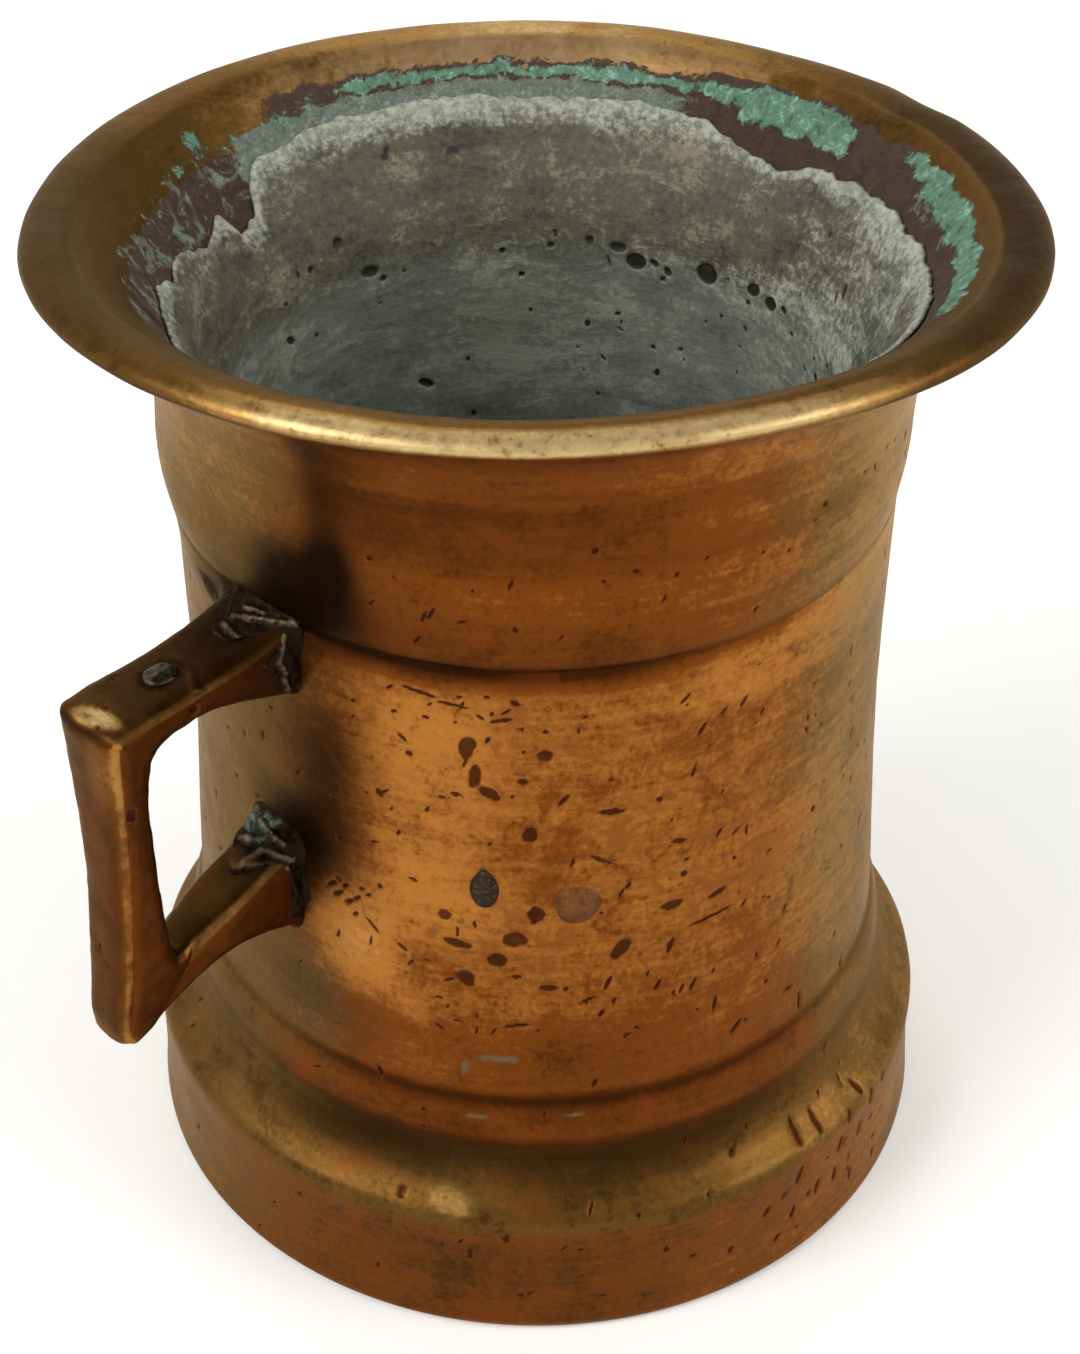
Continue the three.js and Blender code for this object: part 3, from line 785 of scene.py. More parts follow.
def make_body():
    """The casting, from one turned profile, with its faults, dents and marks."""
    profile = [(0.0, 0.0), (26.0, 0.0), (47.0, 0.0)]
    profile += outer_profile() + lip_profile() + bore_profile(30)
    profile += straight((BORE, TRUMPET), (BORE, FLOOR + FILLET), 6)
    profile += quadratic((BORE, FLOOR + FILLET), (BORE, FLOOR), (BORE - FILLET, FLOOR), 4)
    profile += [(0.0, FLOOR)]
    columns = 320
    bm = spin_profile(profile, columns)
    # Zones of angle and height for the small marks; the front is listed twice, as it has more
    zones = [(196, 262, 38, 96), (196, 262, 38, 96), (262, 305, 38, 96), (150, 196, 40, 95),
             (200, 300, 100, 113), (200, 300, 2, 33), (0, 360, 38, 96), (0, 360, 2, 33)]
    little = small_marks(230, 41, zones, 0.5)
    marks = list(BLOTCHES) + list(CUTS) + little

    def on_outside(face):
        middle = face.calc_center_median()
        return 1.0 < middle.z < 127.0 and math.hypot(middle.x, middle.y) > 42.0
    refine_near(bm, marks, on_outside, 0.9, 3)

    points, normals, angle, radius, height = places(bm)
    inside = (radius < (outer_radius(height) + bore_radius(height)) / 2) & (height > FLOOR - 1)
    inside &= ~((height > 126.5) & (radius > CREST_RADIUS + 0.1))
    outside = ~inside & (height > 1.0)
    cavity = np.zeros(len(points))
    push = np.zeros(len(points))
    frayed = 0.75 * rough(points, 1.3, 18)
    # Each kind of mark: how much longer and wider it is made, its darkest colour and its depth
    kinds = ((BLOTCHES, 1.1, 1.12, 0.88, 0.16), (CUTS, 1.0, 1.3, 1.0, 0.24),
             (little, 1.0, 1.1, 1.0, 0.16))
    for group, longer, wider, most, depth in kinds:
        for at, level, length, width, slant in group:
            mark = (at, level, length * longer, width * wider, slant)
            strength = np.where(outside, mark_depth(angle, height, radius, mark), 0)
            fray = frayed * (strength > 0) if group is BLOTCHES else 0
            share = np.clip(strength * 1.9 + fray, 0, most)
            cavity = np.maximum(cavity, share)
            push = np.maximum(push, share * depth)
    # The wall is wavy but calm round the plugs, and the groove is deepest at the front
    sag = wobble(points, 30.0, 3) * 0.22 + wobble(points, 9.0, 4) * 0.09
    calm = np.maximum(mark_depth(angle, height, radius, (*WALL_PLUG, 13.0, 13.0, 0)),
                      mark_depth(angle, height, radius, (*CORE_PIN, 12.0, 13.0, 0)))
    sag = sag * (1 - np.clip(calm * 3, 0, 1))
    sag += 0.7 * hump(height, GROOVE, 1.5) * (1 - bell(angle, 218, 62))
    jitter = rough(points, 3.0, 8)
    skin = rough(points, 1.4, 9)
    corroded = corrosion(angle, height, inside, jitter)
    relief = 0.35 * np.clip(corroded[0] + corroded[2], 0, 1) * (0.4 + skin)
    moved = points + normals * ((outside * (sag - push))
                                + inside * (height > 118) * relief)[:, None]
    # The lines of the foot lean to one side, and the turned lines sag a little at the front
    slope = -0.5 * math.tan(math.radians(2.0))
    sideways = math.radians(FRONT + 90)
    across = points[:, 0] * math.cos(sideways) + points[:, 1] * math.sin(sideways)
    moved[:, 2] += hump(height, 26.0, 16.0) * slope * across * outside
    sag_front = (2.7 * hump(height, 98.0, 12.0) * bell(angle, 216, 95)
                 + 0.9 * hump(height, 34.0, 8.0) * bell(angle, 226, 90))
    moved[:, 2] -= sag_front * outside
    moved = rim_shape(moved, angle, height)
    moved[:, 2] = np.where(height < 0.01, 0.0, moved[:, 2])
    move_to(bm, moved)

    body = finish_mesh(bm, "casting")
    drift = 7.0 * wobble(points, 15.0, 27) + 4.0 * rough(points, 5.0, 28)
    dark, gold, red = body_colours(angle, height, radius, inside, drift)
    teal = np.zeros(len(points))
    for mark in GREEN_MARKS:
        strength = mark_depth(angle, height, radius, mark)
        teal = np.maximum(teal, np.clip(strength * 1.1 + 0.5 * frayed * (strength > 0), 0, 0.6))
    # One long bright patch in the scotia, left of the front
    patch_place = (213.0, 20.1, 9.4, 2.9, -8)
    bright = 0.62 * ragged_spot(mark_depth(angle, height, radius, patch_place), points)
    gold = gold + 0.5 * bright
    red = red * (1 - bright)
    dark = dark * (1 - bright)
    paint(body, "patina", dark, gold, red)
    # Paler grey brown on the left of the wall, a grey bloom with a painted pale reflection where the
    # wall turns away, and on the bare flare at the back, a painted highlight
    grey = 0.3 * bell(angle, 166, 34) * band(height, 6.0, 96.0, 3.0)
    grey += soft_patches(GREY_PATCHES, angle, height)
    grey = grey * outside + 0.55 * bell(angle, 50, 75) * inside
    paint(body, "marks", cavity, grey, teal * outside)
    paint(body, "corrosion", *corroded)
    body.data.materials.append(cast_bronze("cast_bronze"))
    return body


# The tin skin

def make_lining():
    """A thin skin over the bore and its floor, with a ragged top edge."""
    inner = LINING_GAP + LINING_THICK
    floor = FLOOR + LINING_GAP
    columns = 450
    top, low = 122.5, TRUMPET - 2.0
    shares = np.linspace(0.0, 1.0, 26)
    profile = [(BORE - LINING_GAP, z) for z in np.linspace(floor + FILLET, low, 6)]
    profile = [(0.0, floor)] + quadratic((BORE - FILLET, floor), (BORE - LINING_GAP, floor),
                                         (BORE - LINING_GAP, floor + FILLET), 5) + profile[1:]
    profile += [(BORE - LINING_GAP, low + (top - low) * share) for share in shares[5::5]]
    profile += [(BORE - inner, top - (top - low) * share) for share in shares]
    profile += straight((BORE - inner, low), (BORE - inner, floor + FILLET), 84)
    profile += quadratic((BORE - inner, floor + FILLET), (BORE - inner, floor + LINING_THICK),
                         (BORE - FILLET, floor + LINING_THICK), 16)
    profile += straight((BORE - FILLET, floor + LINING_THICK), (0.0, floor + LINING_THICK), 14)
    bm = spin_profile(profile, columns)
    zones = [(330, 390, 60, 120), (0, 120, 60, 120), (300, 360, 70, 122), (0, 360, 30, 110)]
    little = small_marks(120, 7, zones, 0.1)

    def in_bore(face):
        middle = face.calc_center_median()
        return middle.z > floor + 4 and math.hypot(middle.x, middle.y) < BORE - 0.5
    refine_near(bm, list(TIN_PITS) + little, in_bore, 0.8, 2)

    points, normals, angle, radius, height = places(bm)
    front_face = radius < BORE - (LINING_GAP + inner) / 2
    # The flare takes the skin outwards; the top edge follows its own ragged height
    edge = round_value(LINING_TOP, angle)
    lean = np.radians(angle)
    # One ring of places for the whole skin, so that the edge's noise hangs on the angle alone
    ring = np.stack([40 * np.cos(lean), 40 * np.sin(lean), np.zeros(len(angle))], axis=1)
    edge = edge + 0.45 * rough(ring, 5.0, 12) + 0.4 * rough(ring, 1.5, 13)
    edge = edge + 1.2 * rough(ring, 4.0, 14) * bell(angle, 122, 34)
    share = np.clip((height - low) / (top - low), 0, 1)
    height = np.where(height > low, low + (edge - low) * share, height)
    thick_edge = np.clip(bell(angle, 320, 62) * 1.5, 0, 1)
    thin = 0.45 * LINING_THICK * share ** 10 * (1 - thick_edge)
    set_in = np.where(front_face, inner - thin, LINING_GAP)
    flare = bore_radius(np.clip(height, TRUMPET, None)) - set_in
    radius = np.where(height > FLOOR + FILLET, flare, radius)
    placed = np.stack([radius * np.cos(lean), radius * np.sin(lean), height], axis=1)
    on_axis = np.hypot(points[:, 0], points[:, 1]) < 1e-3
    placed[:, :2] = np.where(on_axis[:, None], points[:, :2], placed[:, :2])
    move_to(bm, placed)
    points, normals, angle, radius, height = places(bm)
    edge = round_value(LINING_TOP, angle)
    pit = np.zeros(len(points))
    push = np.zeros(len(points))
    for group, depth in ((TIN_PITS, 0.35), (little, 0.15)):
        for at, level, length, width, slant in group:
            mark = (at, level, length * 1.15, width * 1.15, slant)
            strength = np.where(front_face, mark_depth(angle, height, radius, mark), 0)
            cut = np.clip(strength * 2.0, 0, 1)
            pit = np.maximum(pit, cut * (1.0 if depth > 0.2 else 0.8))
            push = np.maximum(push, cut * depth)
    ripple = (wobble(points, 12.0, 21) * 0.14 + rough(points, 3.0, 22) * 0.07
              + rough(points, 1.3, 23) * 0.04)
    placed = points + normals * (front_face * (ripple - push))[:, None]
    placed = rim_shape(placed, angle, height)
    move_to(bm, placed)
    lining = finish_mesh(bm, "tin_skin")
    below = edge - height
    at_back = bell(angle, 62, 62)
    pale = smooth(below, 4.2, 0.6) * (0.25 + 0.65 * at_back)
    pale += smooth(below, 1.1, 0.3) * (0.25 + 0.3 * thick_edge)
    pale += 0.14 * hump(height, 105.0, 8.0) * bell(angle, 45, 110)
    pale += 0.3 * hump(height, 108.5, 4.5) * bell(angle, 340, 60)
    pale += 0.36 * bell(angle, 322, 46) + 0.08
    olive = 0.35 * smooth(height, 88.0, 98.0) + 0.65 * smooth(height, 105.0, 112.0)
    olive = olive * (0.95 - 0.3 * bell(angle, 320, 50))
    paint(lining, "tinning", pit, pale, olive)
    lining.data.materials.append(tarnished_tin())
    return lining


# The handle: outer point, inner point and half width at stations from the upper root round
# the grip to the lower root, each as distance from the axis and height
HANDLE_STATIONS = (
    ((42.6, 97.4), (42.6, 86.6), 6.0), ((46.5, 96.0), (46.5, 87.9), 5.85),
    ((50.0, 95.1), (50.0, 89.1), 5.75), ((54.0, 94.6), (53.6, 90.1), 5.7),
    ((58.0, 94.3), (57.0, 90.4), 5.7), ((61.6, 94.0), (60.2, 90.0), 5.75),
    ((65.4, 93.8), (62.0, 89.3), 5.8), ((67.5, 93.4), (62.9, 88.4), 5.8),
    ((68.3, 92.2), (63.2, 87.0), 5.75), ((68.3, 89.6), (63.4, 85.2), 5.6),
    ((68.3, 85.5), (63.5, 82.0), 5.3), ((68.2, 79.5), (63.4, 78.2), 4.85),
    ((68.3, 74.5), (63.2, 74.0), 4.6), ((68.6, 69.5), (63.2, 70.0), 4.5),
    ((69.1, 64.5), (63.1, 65.6), 4.55), ((69.6, 60.0), (62.8, 61.8), 4.5),
    ((70.2, 55.5), (62.3, 59.1), 4.4), ((70.8, 51.6), (61.7, 58.0), 4.2),
    ((70.6, 49.2), (60.8, 57.9), 3.9), ((69.2, 48.1), (59.8, 58.2), 3.7),
    ((66.8, 48.7), (58.6, 58.7), 3.4), ((64.3, 50.1), (57.2, 59.4), 3.7),
    ((61.2, 52.0), (55.4, 60.2), 4.0), ((57.6, 53.6), (53.0, 61.2), 4.3),
    ((54.0, 54.2), (50.4, 62.2), 4.3), ((50.0, 53.6), (47.6, 63.4), 4.3),
    ((46.4, 52.4), (45.2, 64.6), 4.4), ((42.8, 51.2), (42.8, 65.6), 4.6),
)
HANDLE_BEVEL = 1.9


def station_corners(station):
    (outer_reach, outer_height), (inner_reach, inner_height), half = station
    return (Vector((-outer_reach, -half, outer_height)), Vector((-outer_reach, half, outer_height)),
            Vector((-inner_reach, half, inner_height)), Vector((-inner_reach, -half, inner_height)))


def make_handle():
    """The bent bar: one face drawn along its stations, its long edges rounded, then worn."""
    bm = bmesh.new()
    ring = [bm.verts.new(corner) for corner in station_corners(HANDLE_STATIONS[0])]
    face = bm.faces.new(ring)
    long_edges = []
    for station in HANDLE_STATIONS[1:]:
        made = bmesh.ops.extrude_discrete_faces(bm, faces=[face])
        face = made["faces"][0]
        corners = list(station_corners(station))
        fresh = [loop.vert for loop in face.loops]
        offset = next(i for i, v in enumerate(fresh) if (v.co - ring[0].co).length < 1e-6)
        fresh = fresh[offset:] + fresh[:offset]
        if (fresh[1].co - ring[1].co).length > 1e-6:
            fresh = [fresh[0]] + fresh[:0:-1]
        for vertex, old, corner in zip(fresh, ring, corners):
            vertex.co = corner
            edge = bm.edges.get((vertex, old))
            if edge:
                long_edges.append(edge)
        ring = fresh
    bmesh.ops.recalc_face_normals(bm, faces=bm.faces)
    bmesh.ops.bevel(bm, geom=long_edges, affect="EDGES", offset=HANDLE_BEVEL, segments=3,
                    profile=0.5, material=-1)
    bmesh.ops.subdivide_edges(bm, edges=bm.edges[:], cuts=1, use_grid_fill=True)
    rough_bar = finish_mesh(bm, "handle_bar")
    smoother = rough_bar.modifiers.new("round", "SUBSURF")
    smoother.levels = 2
    smoother.render_levels = 2
    return worn_bar(rough_bar)


def apply_modifiers(piece):
    """Keep what the modifiers make, as the piece's own mesh."""
    bpy.context.view_layer.update()
    seen = piece.evaluated_get(bpy.context.evaluated_depsgraph_get())
    mesh = bpy.data.meshes.new_from_object(seen)
    old = piece.data
    piece.modifiers.clear()
    piece.data = mesh
    bpy.data.meshes.remove(old)
    mesh.shade_smooth()
    return piece


def mesh_places(piece):
    """Vertices of an object's mesh in millimetres, with their normals."""
    mesh = piece.data
    points = np.zeros(len(mesh.vertices) * 3)
    mesh.vertices.foreach_get("co", points)
    normals = np.zeros(len(mesh.vertices) * 3)
    mesh.vertex_normals.foreach_get("vector", normals)
    return points.reshape(-1, 3) / MM, normals.reshape(-1, 3)


def set_places(piece, points):
    piece.data.vertices.foreach_set("co", (points * MM).ravel())
    piece.data.update()


# Pits and nicks of the bar: place, size, depth
HANDLE_PITS = (
    ((-64.8, 0.2, 94.2), 0.8, 0.3), ((-57.4, -5.6, 92.4), 0.9, 0.5), ((-66.6, -5.0, 82.0), 0.9, 0.4),
    ((-66.4, -5.1, 83.2), 0.7, 0.3), ((-67.4, -2.0, 93.6), 0.6, 0.2), ((-69.0, -2.2, 84.0), 0.7, 0.3),
    ((-69.2, -1.2, 85.5), 0.5, 0.2), ((-68.6, -3.4, 84.4), 0.6, 0.2), ((-69.0, 1.5, 76.0), 0.5, 0.2),
    ((-69.4, 0.6, 62.0), 0.7, 0.2), ((-69.4, -1.0, 60.5), 0.6, 0.2), ((-61.2, 3.4, 94.0), 0.6, 0.2),
    ((-69.6, -2.6, 56.0), 0.7, 0.3), ((-68.4, -3.2, 66.0), 0.5, 0.2), ((-66.4, -3.4, 70.5), 0.6, 0.2),
)


def near(points, place, size):
    """1 at a place, falling to 0 at a distance."""
    return np.clip(1 - np.linalg.norm(points - np.array(place), axis=1) / size, 0, 1)


def near_line(points, start, end, width):
    """1 on a straight line between two places, falling to 0 at a distance of width."""
    start, end = np.array(start, float), np.array(end, float)
    along = end - start
    share = np.clip((points - start) @ along / (along @ along), 0, 1)
    gap = np.linalg.norm(points - start - share[:, None] * along, axis=1)
    return np.clip(1 - gap / width, 0, 1)


def worn_bar(bar):
    """Wear the bar: a crown on its grip, waves and pits in its faces, bright metal where it rubs; it
    also paints a highlight on the elbow and shade in its crease and on the faces towards the wall.
    """
    apply_modifiers(bar)
    points, normals = mesh_places(bar)
    reach = -points[:, 0]
    side = points[:, 1]
    height = points[:, 2]
    grip = smooth(reach, 62.0, 66.0)
    out_face = np.clip(-normals[:, 0], 0, 1)
    up_face = np.clip(normals[:, 2], 0, 1)
    side_face = np.abs(normals[:, 1])
    across = np.abs(side) / np.interp(height, [48, 60, 80, 92], [3.9, 4.5, 4.9, 5.7])
    crown = grip * smooth(height, 93.4, 91.5) * (0.25 - 1.2 * across ** 3) * smooth(out_face, 0.1, 0.6)
    crown = crown - 0.3 * grip * smooth(height, 92.0, 93.6) * across ** 3
    pits = np.zeros(len(points))
    push = np.zeros(len(points))
    for place, size, depth in HANDLE_PITS:
        hole = np.clip(near(points, place, size) * 1.8, 0, 1)
        pits = np.maximum(pits, hole)
        push = np.maximum(push, hole * depth)
    crescent = np.maximum(near_line(points, (-54.6, 1.5, 94.7), (-55.2, -2.2, 94.7), 0.5),
                          near_line(points, (-55.2, -2.2, 94.7), (-56.6, -4.6, 94.3), 0.5))
    seat = np.hypot((reach - 57.4) / 2.15, side / 1.95)
    wave = wobble(points, 11.0, 31) * 0.2 + rough(points, 3.0, 32) * 0.09
    set_places(bar, points + normals * (crown + wave - push + 0.25 * crescent)[:, None])
    root = smooth(reach, 56.0, 48.0)
    lower = smooth(height, 72.0, 62.0) * smooth(reach, 66.0, 62.0)
    bevel = smooth(side_face, 0.12, 0.6) * smooth(side_face, 1.0, 0.84) * grip
    bevel = bevel * smooth(out_face, 0.1, 0.35)
    bevel = bevel * np.clip(0.8 + 0.6 * rough(points, 2.4, 33), 0, 1)
    top_edge = smooth(side_face, 0.3, 0.6) * smooth(side_face, 0.95, 0.75) * smooth(up_face, 0.15, 0.4)
    oval = np.hypot((reach - 66.6 - 0.2 * side) / 1.3, (side + 0.6) / 3.6)
    # A painted highlight on the elbow
    elbow_highlight = smooth(oval, 1.15, 0.7) * smooth(up_face, 0.3, 0.6) * smooth(height, 91.0, 93.0)
    # Painted shade in the crease under the elbow
    crease_shade = hump(reach, 68.2, 0.9) * hump(height, 92.9, 1.1)
    shoulder = grip * out_face * hump(height, 88.0, 7.0) * smooth(side, 0.5, -2.5)
    rubbed = out_face * grip * smooth(across, 0.5, 0.95) * smooth(side, 0.5, -0.5)
    gold = 0.16 + 0.24 * bevel + 0.17 * rubbed + 0.74 * elbow_highlight + 0.3 * shoulder + 0.3 * crescent
    gold += top_edge * (0.26 * lower * smooth(side, 0.5, -0.5) + 0.06 * (1 - root))
    gold += 0.12 * hump(height, 49.0, 4.0) * grip
    red = 0.26 + 0.6 * smooth(side_face, 0.7, 0.97) + 0.3 * out_face * grip - 0.2 * elbow_highlight
    dark = 0.2 + 0.24 * up_face * (1 - grip) + 0.14 * root - 0.13 * lower * up_face + 0.5 * crease_shade
    dark = dark + 0.16 * out_face * grip * (1 - shoulder)
    dark = dark + smooth(side_face, 0.75, 0.95) * (0.1 + 0.2 * smooth(height, 70.0, 84.0))
    # Painted shade on the faces that turn towards the wall
    dark = dark + 0.3 * smooth(normals[:, 0], 0.2, 0.8)
    dark = dark + 0.5 * hump(seat, 1.12, 0.22) * up_face * smooth(height, 88.0, 92.0)
    dark = dark * (1 - elbow_highlight) - 0.25 * bevel
    paint(bar, "patina", dark, gold, red)
    paint(bar, "marks", pits * 1.3, np.zeros(len(points)), np.zeros(len(points)))
    bar.data.materials.append(cast_bronze("cast_bronze_handle", body=False))
    return bar


# Brazing metal run round the roots of the handle

def bar_section(stations, reach):
    """Middle height, half height and half width of the bar at a distance from the axis."""
    rows = sorted(((outer[0] + inner[0]) / 2, (outer[1] + inner[1]) / 2,
                   abs(outer[1] - inner[1]) / 2, half) for outer, inner, half in stations)
    steps = [row[0] for row in rows]
    return tuple(np.interp(reach, steps, [row[i] for row in rows]) for i in (1, 2, 3))


def make_braze(name, stations, spread, climb, seed):
    """A heap round a root: it thins out on the wall and along the bar, and is hollow for the bar.
    spread and climb give how far it runs over the wall and along the bar in each direction."""
    turns, rows = 180, 44
    # Each column runs from the wall up to the bar, then back through the hollow to the wall
    bm = bmesh.new()
    bmesh.ops.create_grid(bm, x_segments=turns, y_segments=rows, size=1.0)
    path = [((1 - t) ** 2.2, t ** 1.9) for t in np.linspace(0, 1, 35)]
    count = len(path)
    for vertex in bm.verts:
        direction = vertex.co.x * 180.0
        row = int(round((vertex.co.y + 1) / 2 * rows))
        wide, far = spread(direction), climb(direction)
        cosine, sine = math.cos(math.radians(direction)), math.sin(math.radians(direction))
        if row < count:
            beyond = BRAZE_COAT + (wide - BRAZE_COAT) * path[row][0]
            out = 0.04 + far * path[row][1]
        else:
            hollow = ((-0.5, far + 0.3), (-0.5, far * 0.5), (-0.5, 0.0), (-0.5, -1.4),
                      (wide * 0.3, -1.4), (wide * 0.6, -1.4), (wide, -1.3), (wide, -0.7),
                      (wide, -0.3), (wide, 0.04))
            beyond, out = hollow[row - count]
        reach = WAIST + max(out, 0.0)
        middle, high, half = bar_section(stations, reach)
        size = (abs(cosine / half) ** 4 + abs(sine / high) ** 4) ** -0.25
        aside = (size + beyond) * cosine
        height = middle + (size + beyond) * sine
        wall = math.sqrt(float(outer_radius(height)) ** 2 - min(aside ** 2, 1500.0))
        vertex.co = (-wall - out, aside, height)
    bmesh.ops.remove_doubles(bm, verts=bm.verts, dist=1e-4)
    bmesh.ops.recalc_face_normals(bm, faces=bm.faces)
    piece = finish_mesh(bm, name)
    points, normals = mesh_places(piece)
    wall_gap = np.hypot(points[:, 0], points[:, 1]) - outer_radius(points[:, 2])
    outside = smooth(wall_gap, 0.0, 0.5)
    crust = rough(points, 3.0, seed) * 0.28 + rough(points, 1.1, seed + 1) * 0.1
    set_places(piece, points + normals * (crust * outside)[:, None])
    return piece


def raise_ridges(piece, ridges, rise):
    """Raise ridges along lines of places, brought to the surface, and give back the points before that
    and how much of a ridge each is."""
    points, normals = mesh_places(piece)
    away = normals[:, 0] < 0.2
    ridge = np.zeros(len(points))

    def on_surface(place):
        gap = np.linalg.norm(points - np.array(place), axis=1) + np.where(away, 0, 100)
        return points[np.argmin(gap)]
    for start, end, width in ridges:
        start, end = on_surface(start), on_surface(end)
        middle = on_surface((start + end) / 2)
        ridge = np.maximum(ridge, near_line(points, start, middle, width))
        ridge = np.maximum(ridge, near_line(points, middle, end, width))
    ridge = smooth(ridge + 0.35 * rough(points, 0.9, 55) * (ridge > 0), 0.0, 0.9)
    set_places(piece, points + normals * (rise * ridge)[:, None])
    return points, ridge


def lobe(direction, centre, half, height):
    """A run of the metal to one side. direction goes round the bar: 90 is up and 0 is along +Y."""
    return float(height * bell(direction, centre, half))


def upper_spread(direction):
    return (0.45 + lobe(direction, 95, 75, 2.2) + lobe(direction, 8, 12, 11.4)
            + lobe(direction, 24, 26, 4.6) + 0.3 * math.sin(math.radians(direction * 5 + 20)))


def upper_climb(direction):
    return (2.2 + lobe(direction, 90, 60, 3.8) + lobe(direction, -172, 14, 1.8)
            + lobe(direction, 165, 12, 2.2) + 0.4 * math.sin(math.radians(direction * 7)))


def lower_spread(direction):
    return (0.55 + lobe(direction, 88, 60, 1.3) + lobe(direction, -165, 22, 0.5)
            + 0.25 * math.sin(math.radians(direction * 6 + 50)))


def lower_climb(direction):
    return (1.3 + lobe(direction, 90, 66, 5.0) + lobe(direction, -165, 16, 0.6)
            + 0.4 * math.sin(math.radians(direction * 5 + 10)))


# Ridges of the brazing metal, painted pale as worn metal and highlight: start, end and width
UPPER_RIDGES = (
    ((-47.0, 1.0, 97.2), (-45.9, -3.0, 98.0), 0.6), ((-45.9, -3.0, 98.0), (-44.6, -6.4, 97.4), 0.6),
    ((-46.0, 0.1, 98.6), (-45.6, -2.6, 98.9), 0.5), ((-48.0, 0.9, 96.5), (-48.6, -2.4, 96.3), 0.5),
    ((-45.0, -6.8, 96.6), (-45.9, -7.0, 93.5), 0.6), ((-45.9, -7.0, 93.5), (-45.0, -7.4, 91.4), 0.5),
    ((-45.4, -7.0, 90.5), (-45.0, -7.2, 88.8), 0.6),
)
LOWER_RIDGES = (
    ((-46.2, 3.6, 67.4), (-46.2, -0.4, 67.4), 0.6), ((-46.2, -0.4, 67.4), (-46.0, -4.0, 66.2), 0.6),
    ((-47.8, 0.4, 65.2), (-48.0, 2.8, 65.0), 0.7), ((-52.0, -0.8, 62.2), (-50.2, -1.2, 63.2), 0.6),
    ((-50.2, -1.2, 63.2), (-47.6, -1.8, 65.0), 0.6), ((-47.6, -1.8, 65.0), (-45.4, -6.2, 63.4), 0.6),
    ((-51.2, -3.0, 62.0), (-47.8, -2.8, 63.4), 0.6), ((-47.8, -2.8, 63.4), (-46.4, -5.6, 62.2), 0.6),
)


def make_upper_braze(material):
    piece = make_braze("upper_braze_heap", HANDLE_STATIONS[:6], upper_spread, upper_climb, 51)
    points, ridge = raise_ridges(piece, UPPER_RIDGES, 0.35)
    reach = -points[:, 0]
    brown = 0.7 * smooth(reach, 46.5, 49.0) * smooth(points[:, 1], -3.5, -5.0)
    brown = brown + 0.35 * smooth(reach, 48.0, 50.5)
    teal = 0.25 * hump(points[:, 2], 98.5, 3.0) * hump(points[:, 1], -1.5, 4.0)
    # The ridges get pale paint: worn metal and a painted highlight
    paint(piece, "braze", ridge * 0.62, teal, brown)
    piece.data.materials.append(material)
    return piece


def make_lower_braze(material):
    piece = make_braze("lower_braze_heap", HANDLE_STATIONS[-6:], lower_spread, lower_climb, 61)
    points, ridge = raise_ridges(piece, LOWER_RIDGES, 0.3)
    reach = -points[:, 0]
    teal = 0.52 * near(points, (-46.0, 1.2, 66.6), 4.0) ** 0.5
    teal += 0.12 * hump(points[:, 2], 65.5, 2.0) * smooth(points[:, 1], -4, 0)
    brown = 0.5 * smooth(reach, 47.0, 50.0)
    # The ridges get pale paint: worn metal and a painted highlight
    paint(piece, "braze", ridge * 0.68, teal, brown)
    piece.data.materials.append(material)
    return piece


# Plugs

def make_wall_plug(name, place, width, length, outline, material):
    """A plug hammered flush with the wall. outline gives its radius share at each direction."""
    angle, height = place
    bm = bmesh.new()
    made = bmesh.ops.create_circle(bm, cap_ends=True, radius=1.0, segments=48)
    for vertex in made["verts"]:
        share = outline(math.degrees(math.atan2(vertex.co.y, vertex.co.x)))
        vertex.co.x *= width / 2 * share
        vertex.co.y *= length / 2 * share
    face = next(iter(bm.faces))
    step = min(width, length) * 0.08
    for _ in range(5):
        bmesh.ops.inset_region(bm, faces=[face], thickness=step, depth=0.0)
    bmesh.ops.poke(bm, faces=[face])
    rim = [edge for edge in bm.edges if edge.is_boundary]
    sunk = bmesh.ops.extrude_edge_only(bm, edges=rim)
    skirt = [item for item in sunk["geom"] if isinstance(item, bmesh.types.BMVert)]
    for vertex in skirt:
        vertex.co.z = -2.0
    bmesh.ops.contextual_create(bm, geom=[e for e in bm.edges if e.is_boundary])
    for vertex in bm.verts:
        inward = vertex.co.z
        reach = math.hypot(vertex.co.x / width, vertex.co.y / length) * 2
        out = 0.16 - 0.1 * reach ** 4 if inward > -1 else -2.0
        seat = on_wall(angle + math.degrees(vertex.co.x / WAIST), height + vertex.co.y, out)
        vertex.co = seat + seat.normalized() * 0.04 * noise.noise(seat * 1.2)
    bmesh.ops.recalc_face_normals(bm, faces=bm.faces)
    plug = finish_mesh(bm, name)
    plug.data.materials.append(material)
    return plug


def oval(direction):
    return 1.0 + 0.05 * math.sin(math.radians(direction * 3 + 40))


def teardrop(direction):
    up = math.cos(math.radians(direction - 90))
    return 1.0 - 0.24 * abs(math.sin(math.radians(direction - 90))) * max(up, 0) + 0.08 * max(-up, 0)


def make_handle_plug(material):
    """The round plug in the top of the upper arm."""
    low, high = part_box("handle_plug")
    middle = (low + high) / 2 / MM
    radius = 1.85
    bm = bmesh.new()
    bmesh.ops.create_cone(bm, cap_ends=True, segments=36, radius1=radius, radius2=radius, depth=2.2)
    cap = max(bm.faces, key=lambda f: f.calc_center_median().z)
    for _ in range(4):
        bmesh.ops.inset_region(bm, faces=[cap], thickness=0.37, depth=0.0)
    bmesh.ops.poke(bm, faces=[cap])
    for vertex in bm.verts:
        if vertex.co.z > 0:
            reach = math.hypot(vertex.co.x, vertex.co.y) / radius
            vertex.co.z += 0.42 - 0.25 * reach ** 3 + 0.16 * noise.noise(vertex.co * 1.1)
        vertex.co.x *= 1.12
        vertex.co.y *= 0.95
        vertex.co += middle
    bmesh.ops.recalc_face_normals(bm, faces=bm.faces)
    plug = finish_mesh(bm, "handle_spot")
    plug.data.materials.append(material)
    return plug


# The studio

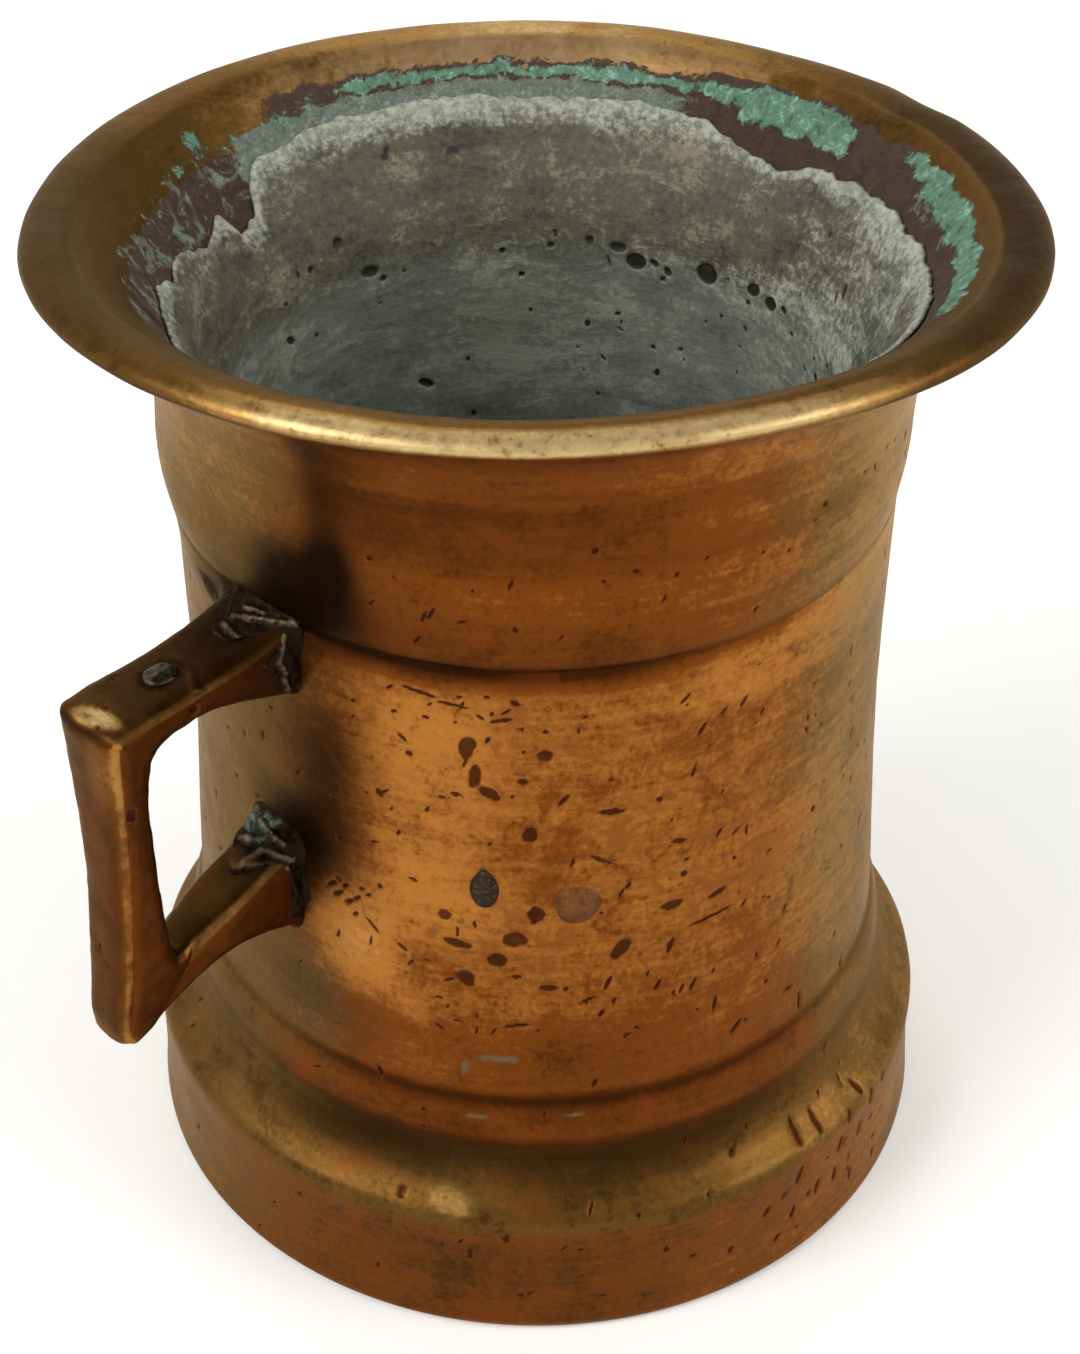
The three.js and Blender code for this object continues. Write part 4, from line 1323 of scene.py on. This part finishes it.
def make_stage():
    """A pale floor that turns up into a wall all round, open above."""
    flat, far, bend, top = 1200.0, 2000.0, 800.0, 1400.0
    profile = [(0.0, 0.0)] + straight((0.0, 0.0), (flat, 0.0), 8)
    profile += quadratic((flat, 0.0), (far, 0.0), (far, bend), 14)
    profile += straight((far, bend), (far, top), 3)
    bm = spin_profile(profile, 128)
    for face in bm.faces:
        middle = face.calc_center_median()
        if face.normal.dot(Vector((0, 0, bend)) - middle) < 0:
            face.normal_flip()
    floor = finish_mesh(bm, "studio_floor")
    material, tree = new_material("painted_floor")
    shader = add(tree, "BsdfPrincipled", {"Base Color": linear("F6F5F3"), "Roughness": 0.9})
    seen = add(tree, "LightPath")
    direct = maths(tree, "MAXIMUM", seen.outputs["Is Camera Ray"], seen.outputs["Is Glossy Ray"])
    direct = maths(tree, "MAXIMUM", direct, seen.outputs["Is Transmission Ray"])
    glow = maths(tree, "MULTIPLY", direct, 0.14)
    tree.links.new(glow, shader.inputs["Emission Strength"])
    shader.inputs["Emission Color"].default_value = linear("FFFFFF")
    close_material(tree, shader)
    floor.data.materials.append(material)


def make_lamp(name, place, size, power, aim=(0.0, 0.0, 0.07)):
    data = bpy.data.lights.new(name, "AREA")
    data.shape = "DISK"
    data.size = size
    data.energy = power
    lamp = link_object(name, data)
    lamp.location = place
    lamp.rotation_mode = "QUATERNION"
    lamp.rotation_quaternion = (Vector(aim) - Vector(place)).to_track_quat("-Z", "Y")


def make_light():
    world = bpy.data.worlds.new("studio_air")
    bpy.context.scene.world = world
    world.use_nodes = True
    air = world.node_tree.nodes["Background"]
    air.inputs["Color"].default_value = linear("E2E2E0")
    air.inputs["Strength"].default_value = 0.72
    make_lamp("key_lamp", (-1.1, 0.3, 1.0), 0.9, 12.0)
    make_lamp("fill_lamp", (0.6, -1.1, 0.9), 0.9, 8.0)
    make_lamp("back_lamp", (0.5, 0.9, 1.1), 0.8, 2.5)


# The photograph's camera: distance from the axis, height and pitch in the object's own frame
CAMERA_REACH = 0.2377
CAMERA_HEIGHT = 0.238
CAMERA_PITCH = 36.16
CAMERA_LENS = 59.93
CAMERA_SHIFT = 0.0028


def make_camera():
    data = bpy.data.cameras.new("camera")
    camera = link_object("camera", data)
    heading = math.radians(FRONT)
    camera.location = (CAMERA_REACH * math.cos(heading), CAMERA_REACH * math.sin(heading),
                       CAMERA_HEIGHT)
    camera.rotation_euler = (math.radians(90 - CAMERA_PITCH), 0.0, math.radians(FRONT - 270))
    data.lens = CAMERA_LENS
    data.sensor_width = 36.0
    data.shift_x = CAMERA_SHIFT
    data.clip_start = 0.01
    data.clip_end = 20.0
    bpy.context.scene.camera = camera


def place_piece(piece, node):
    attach(piece, "root")
    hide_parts(node)


bpy.context.scene.view_settings.view_transform = "Standard"
make_camera()
make_light()
make_stage()

place_piece(make_body(), "mortar_body")
place_piece(make_lining(), "tin_lining")
place_piece(make_handle(), "handle")
braze = burnt_braze()
place_piece(make_upper_braze(braze), "upper_braze")
place_piece(make_lower_braze(braze), "lower_braze")
solder = plug_metal("soft_solder", "5A3311", "784719", 0.55)
place_piece(make_wall_plug("wall_spot", WALL_PLUG, 5.4, 5.2, oval, solder), "wall_plug")
pin_metal = plug_metal("corroded_pin", "1B1007", "352511", 0.6)
place_piece(make_wall_plug("core_pin_end", CORE_PIN, 3.4, 5.4, teardrop, pin_metal),
            "core_pin")
dull_solder = plug_metal("dull_solder", "18140A", "433D29", 0.36)
place_piece(make_handle_plug(dull_solder), "handle_plug")
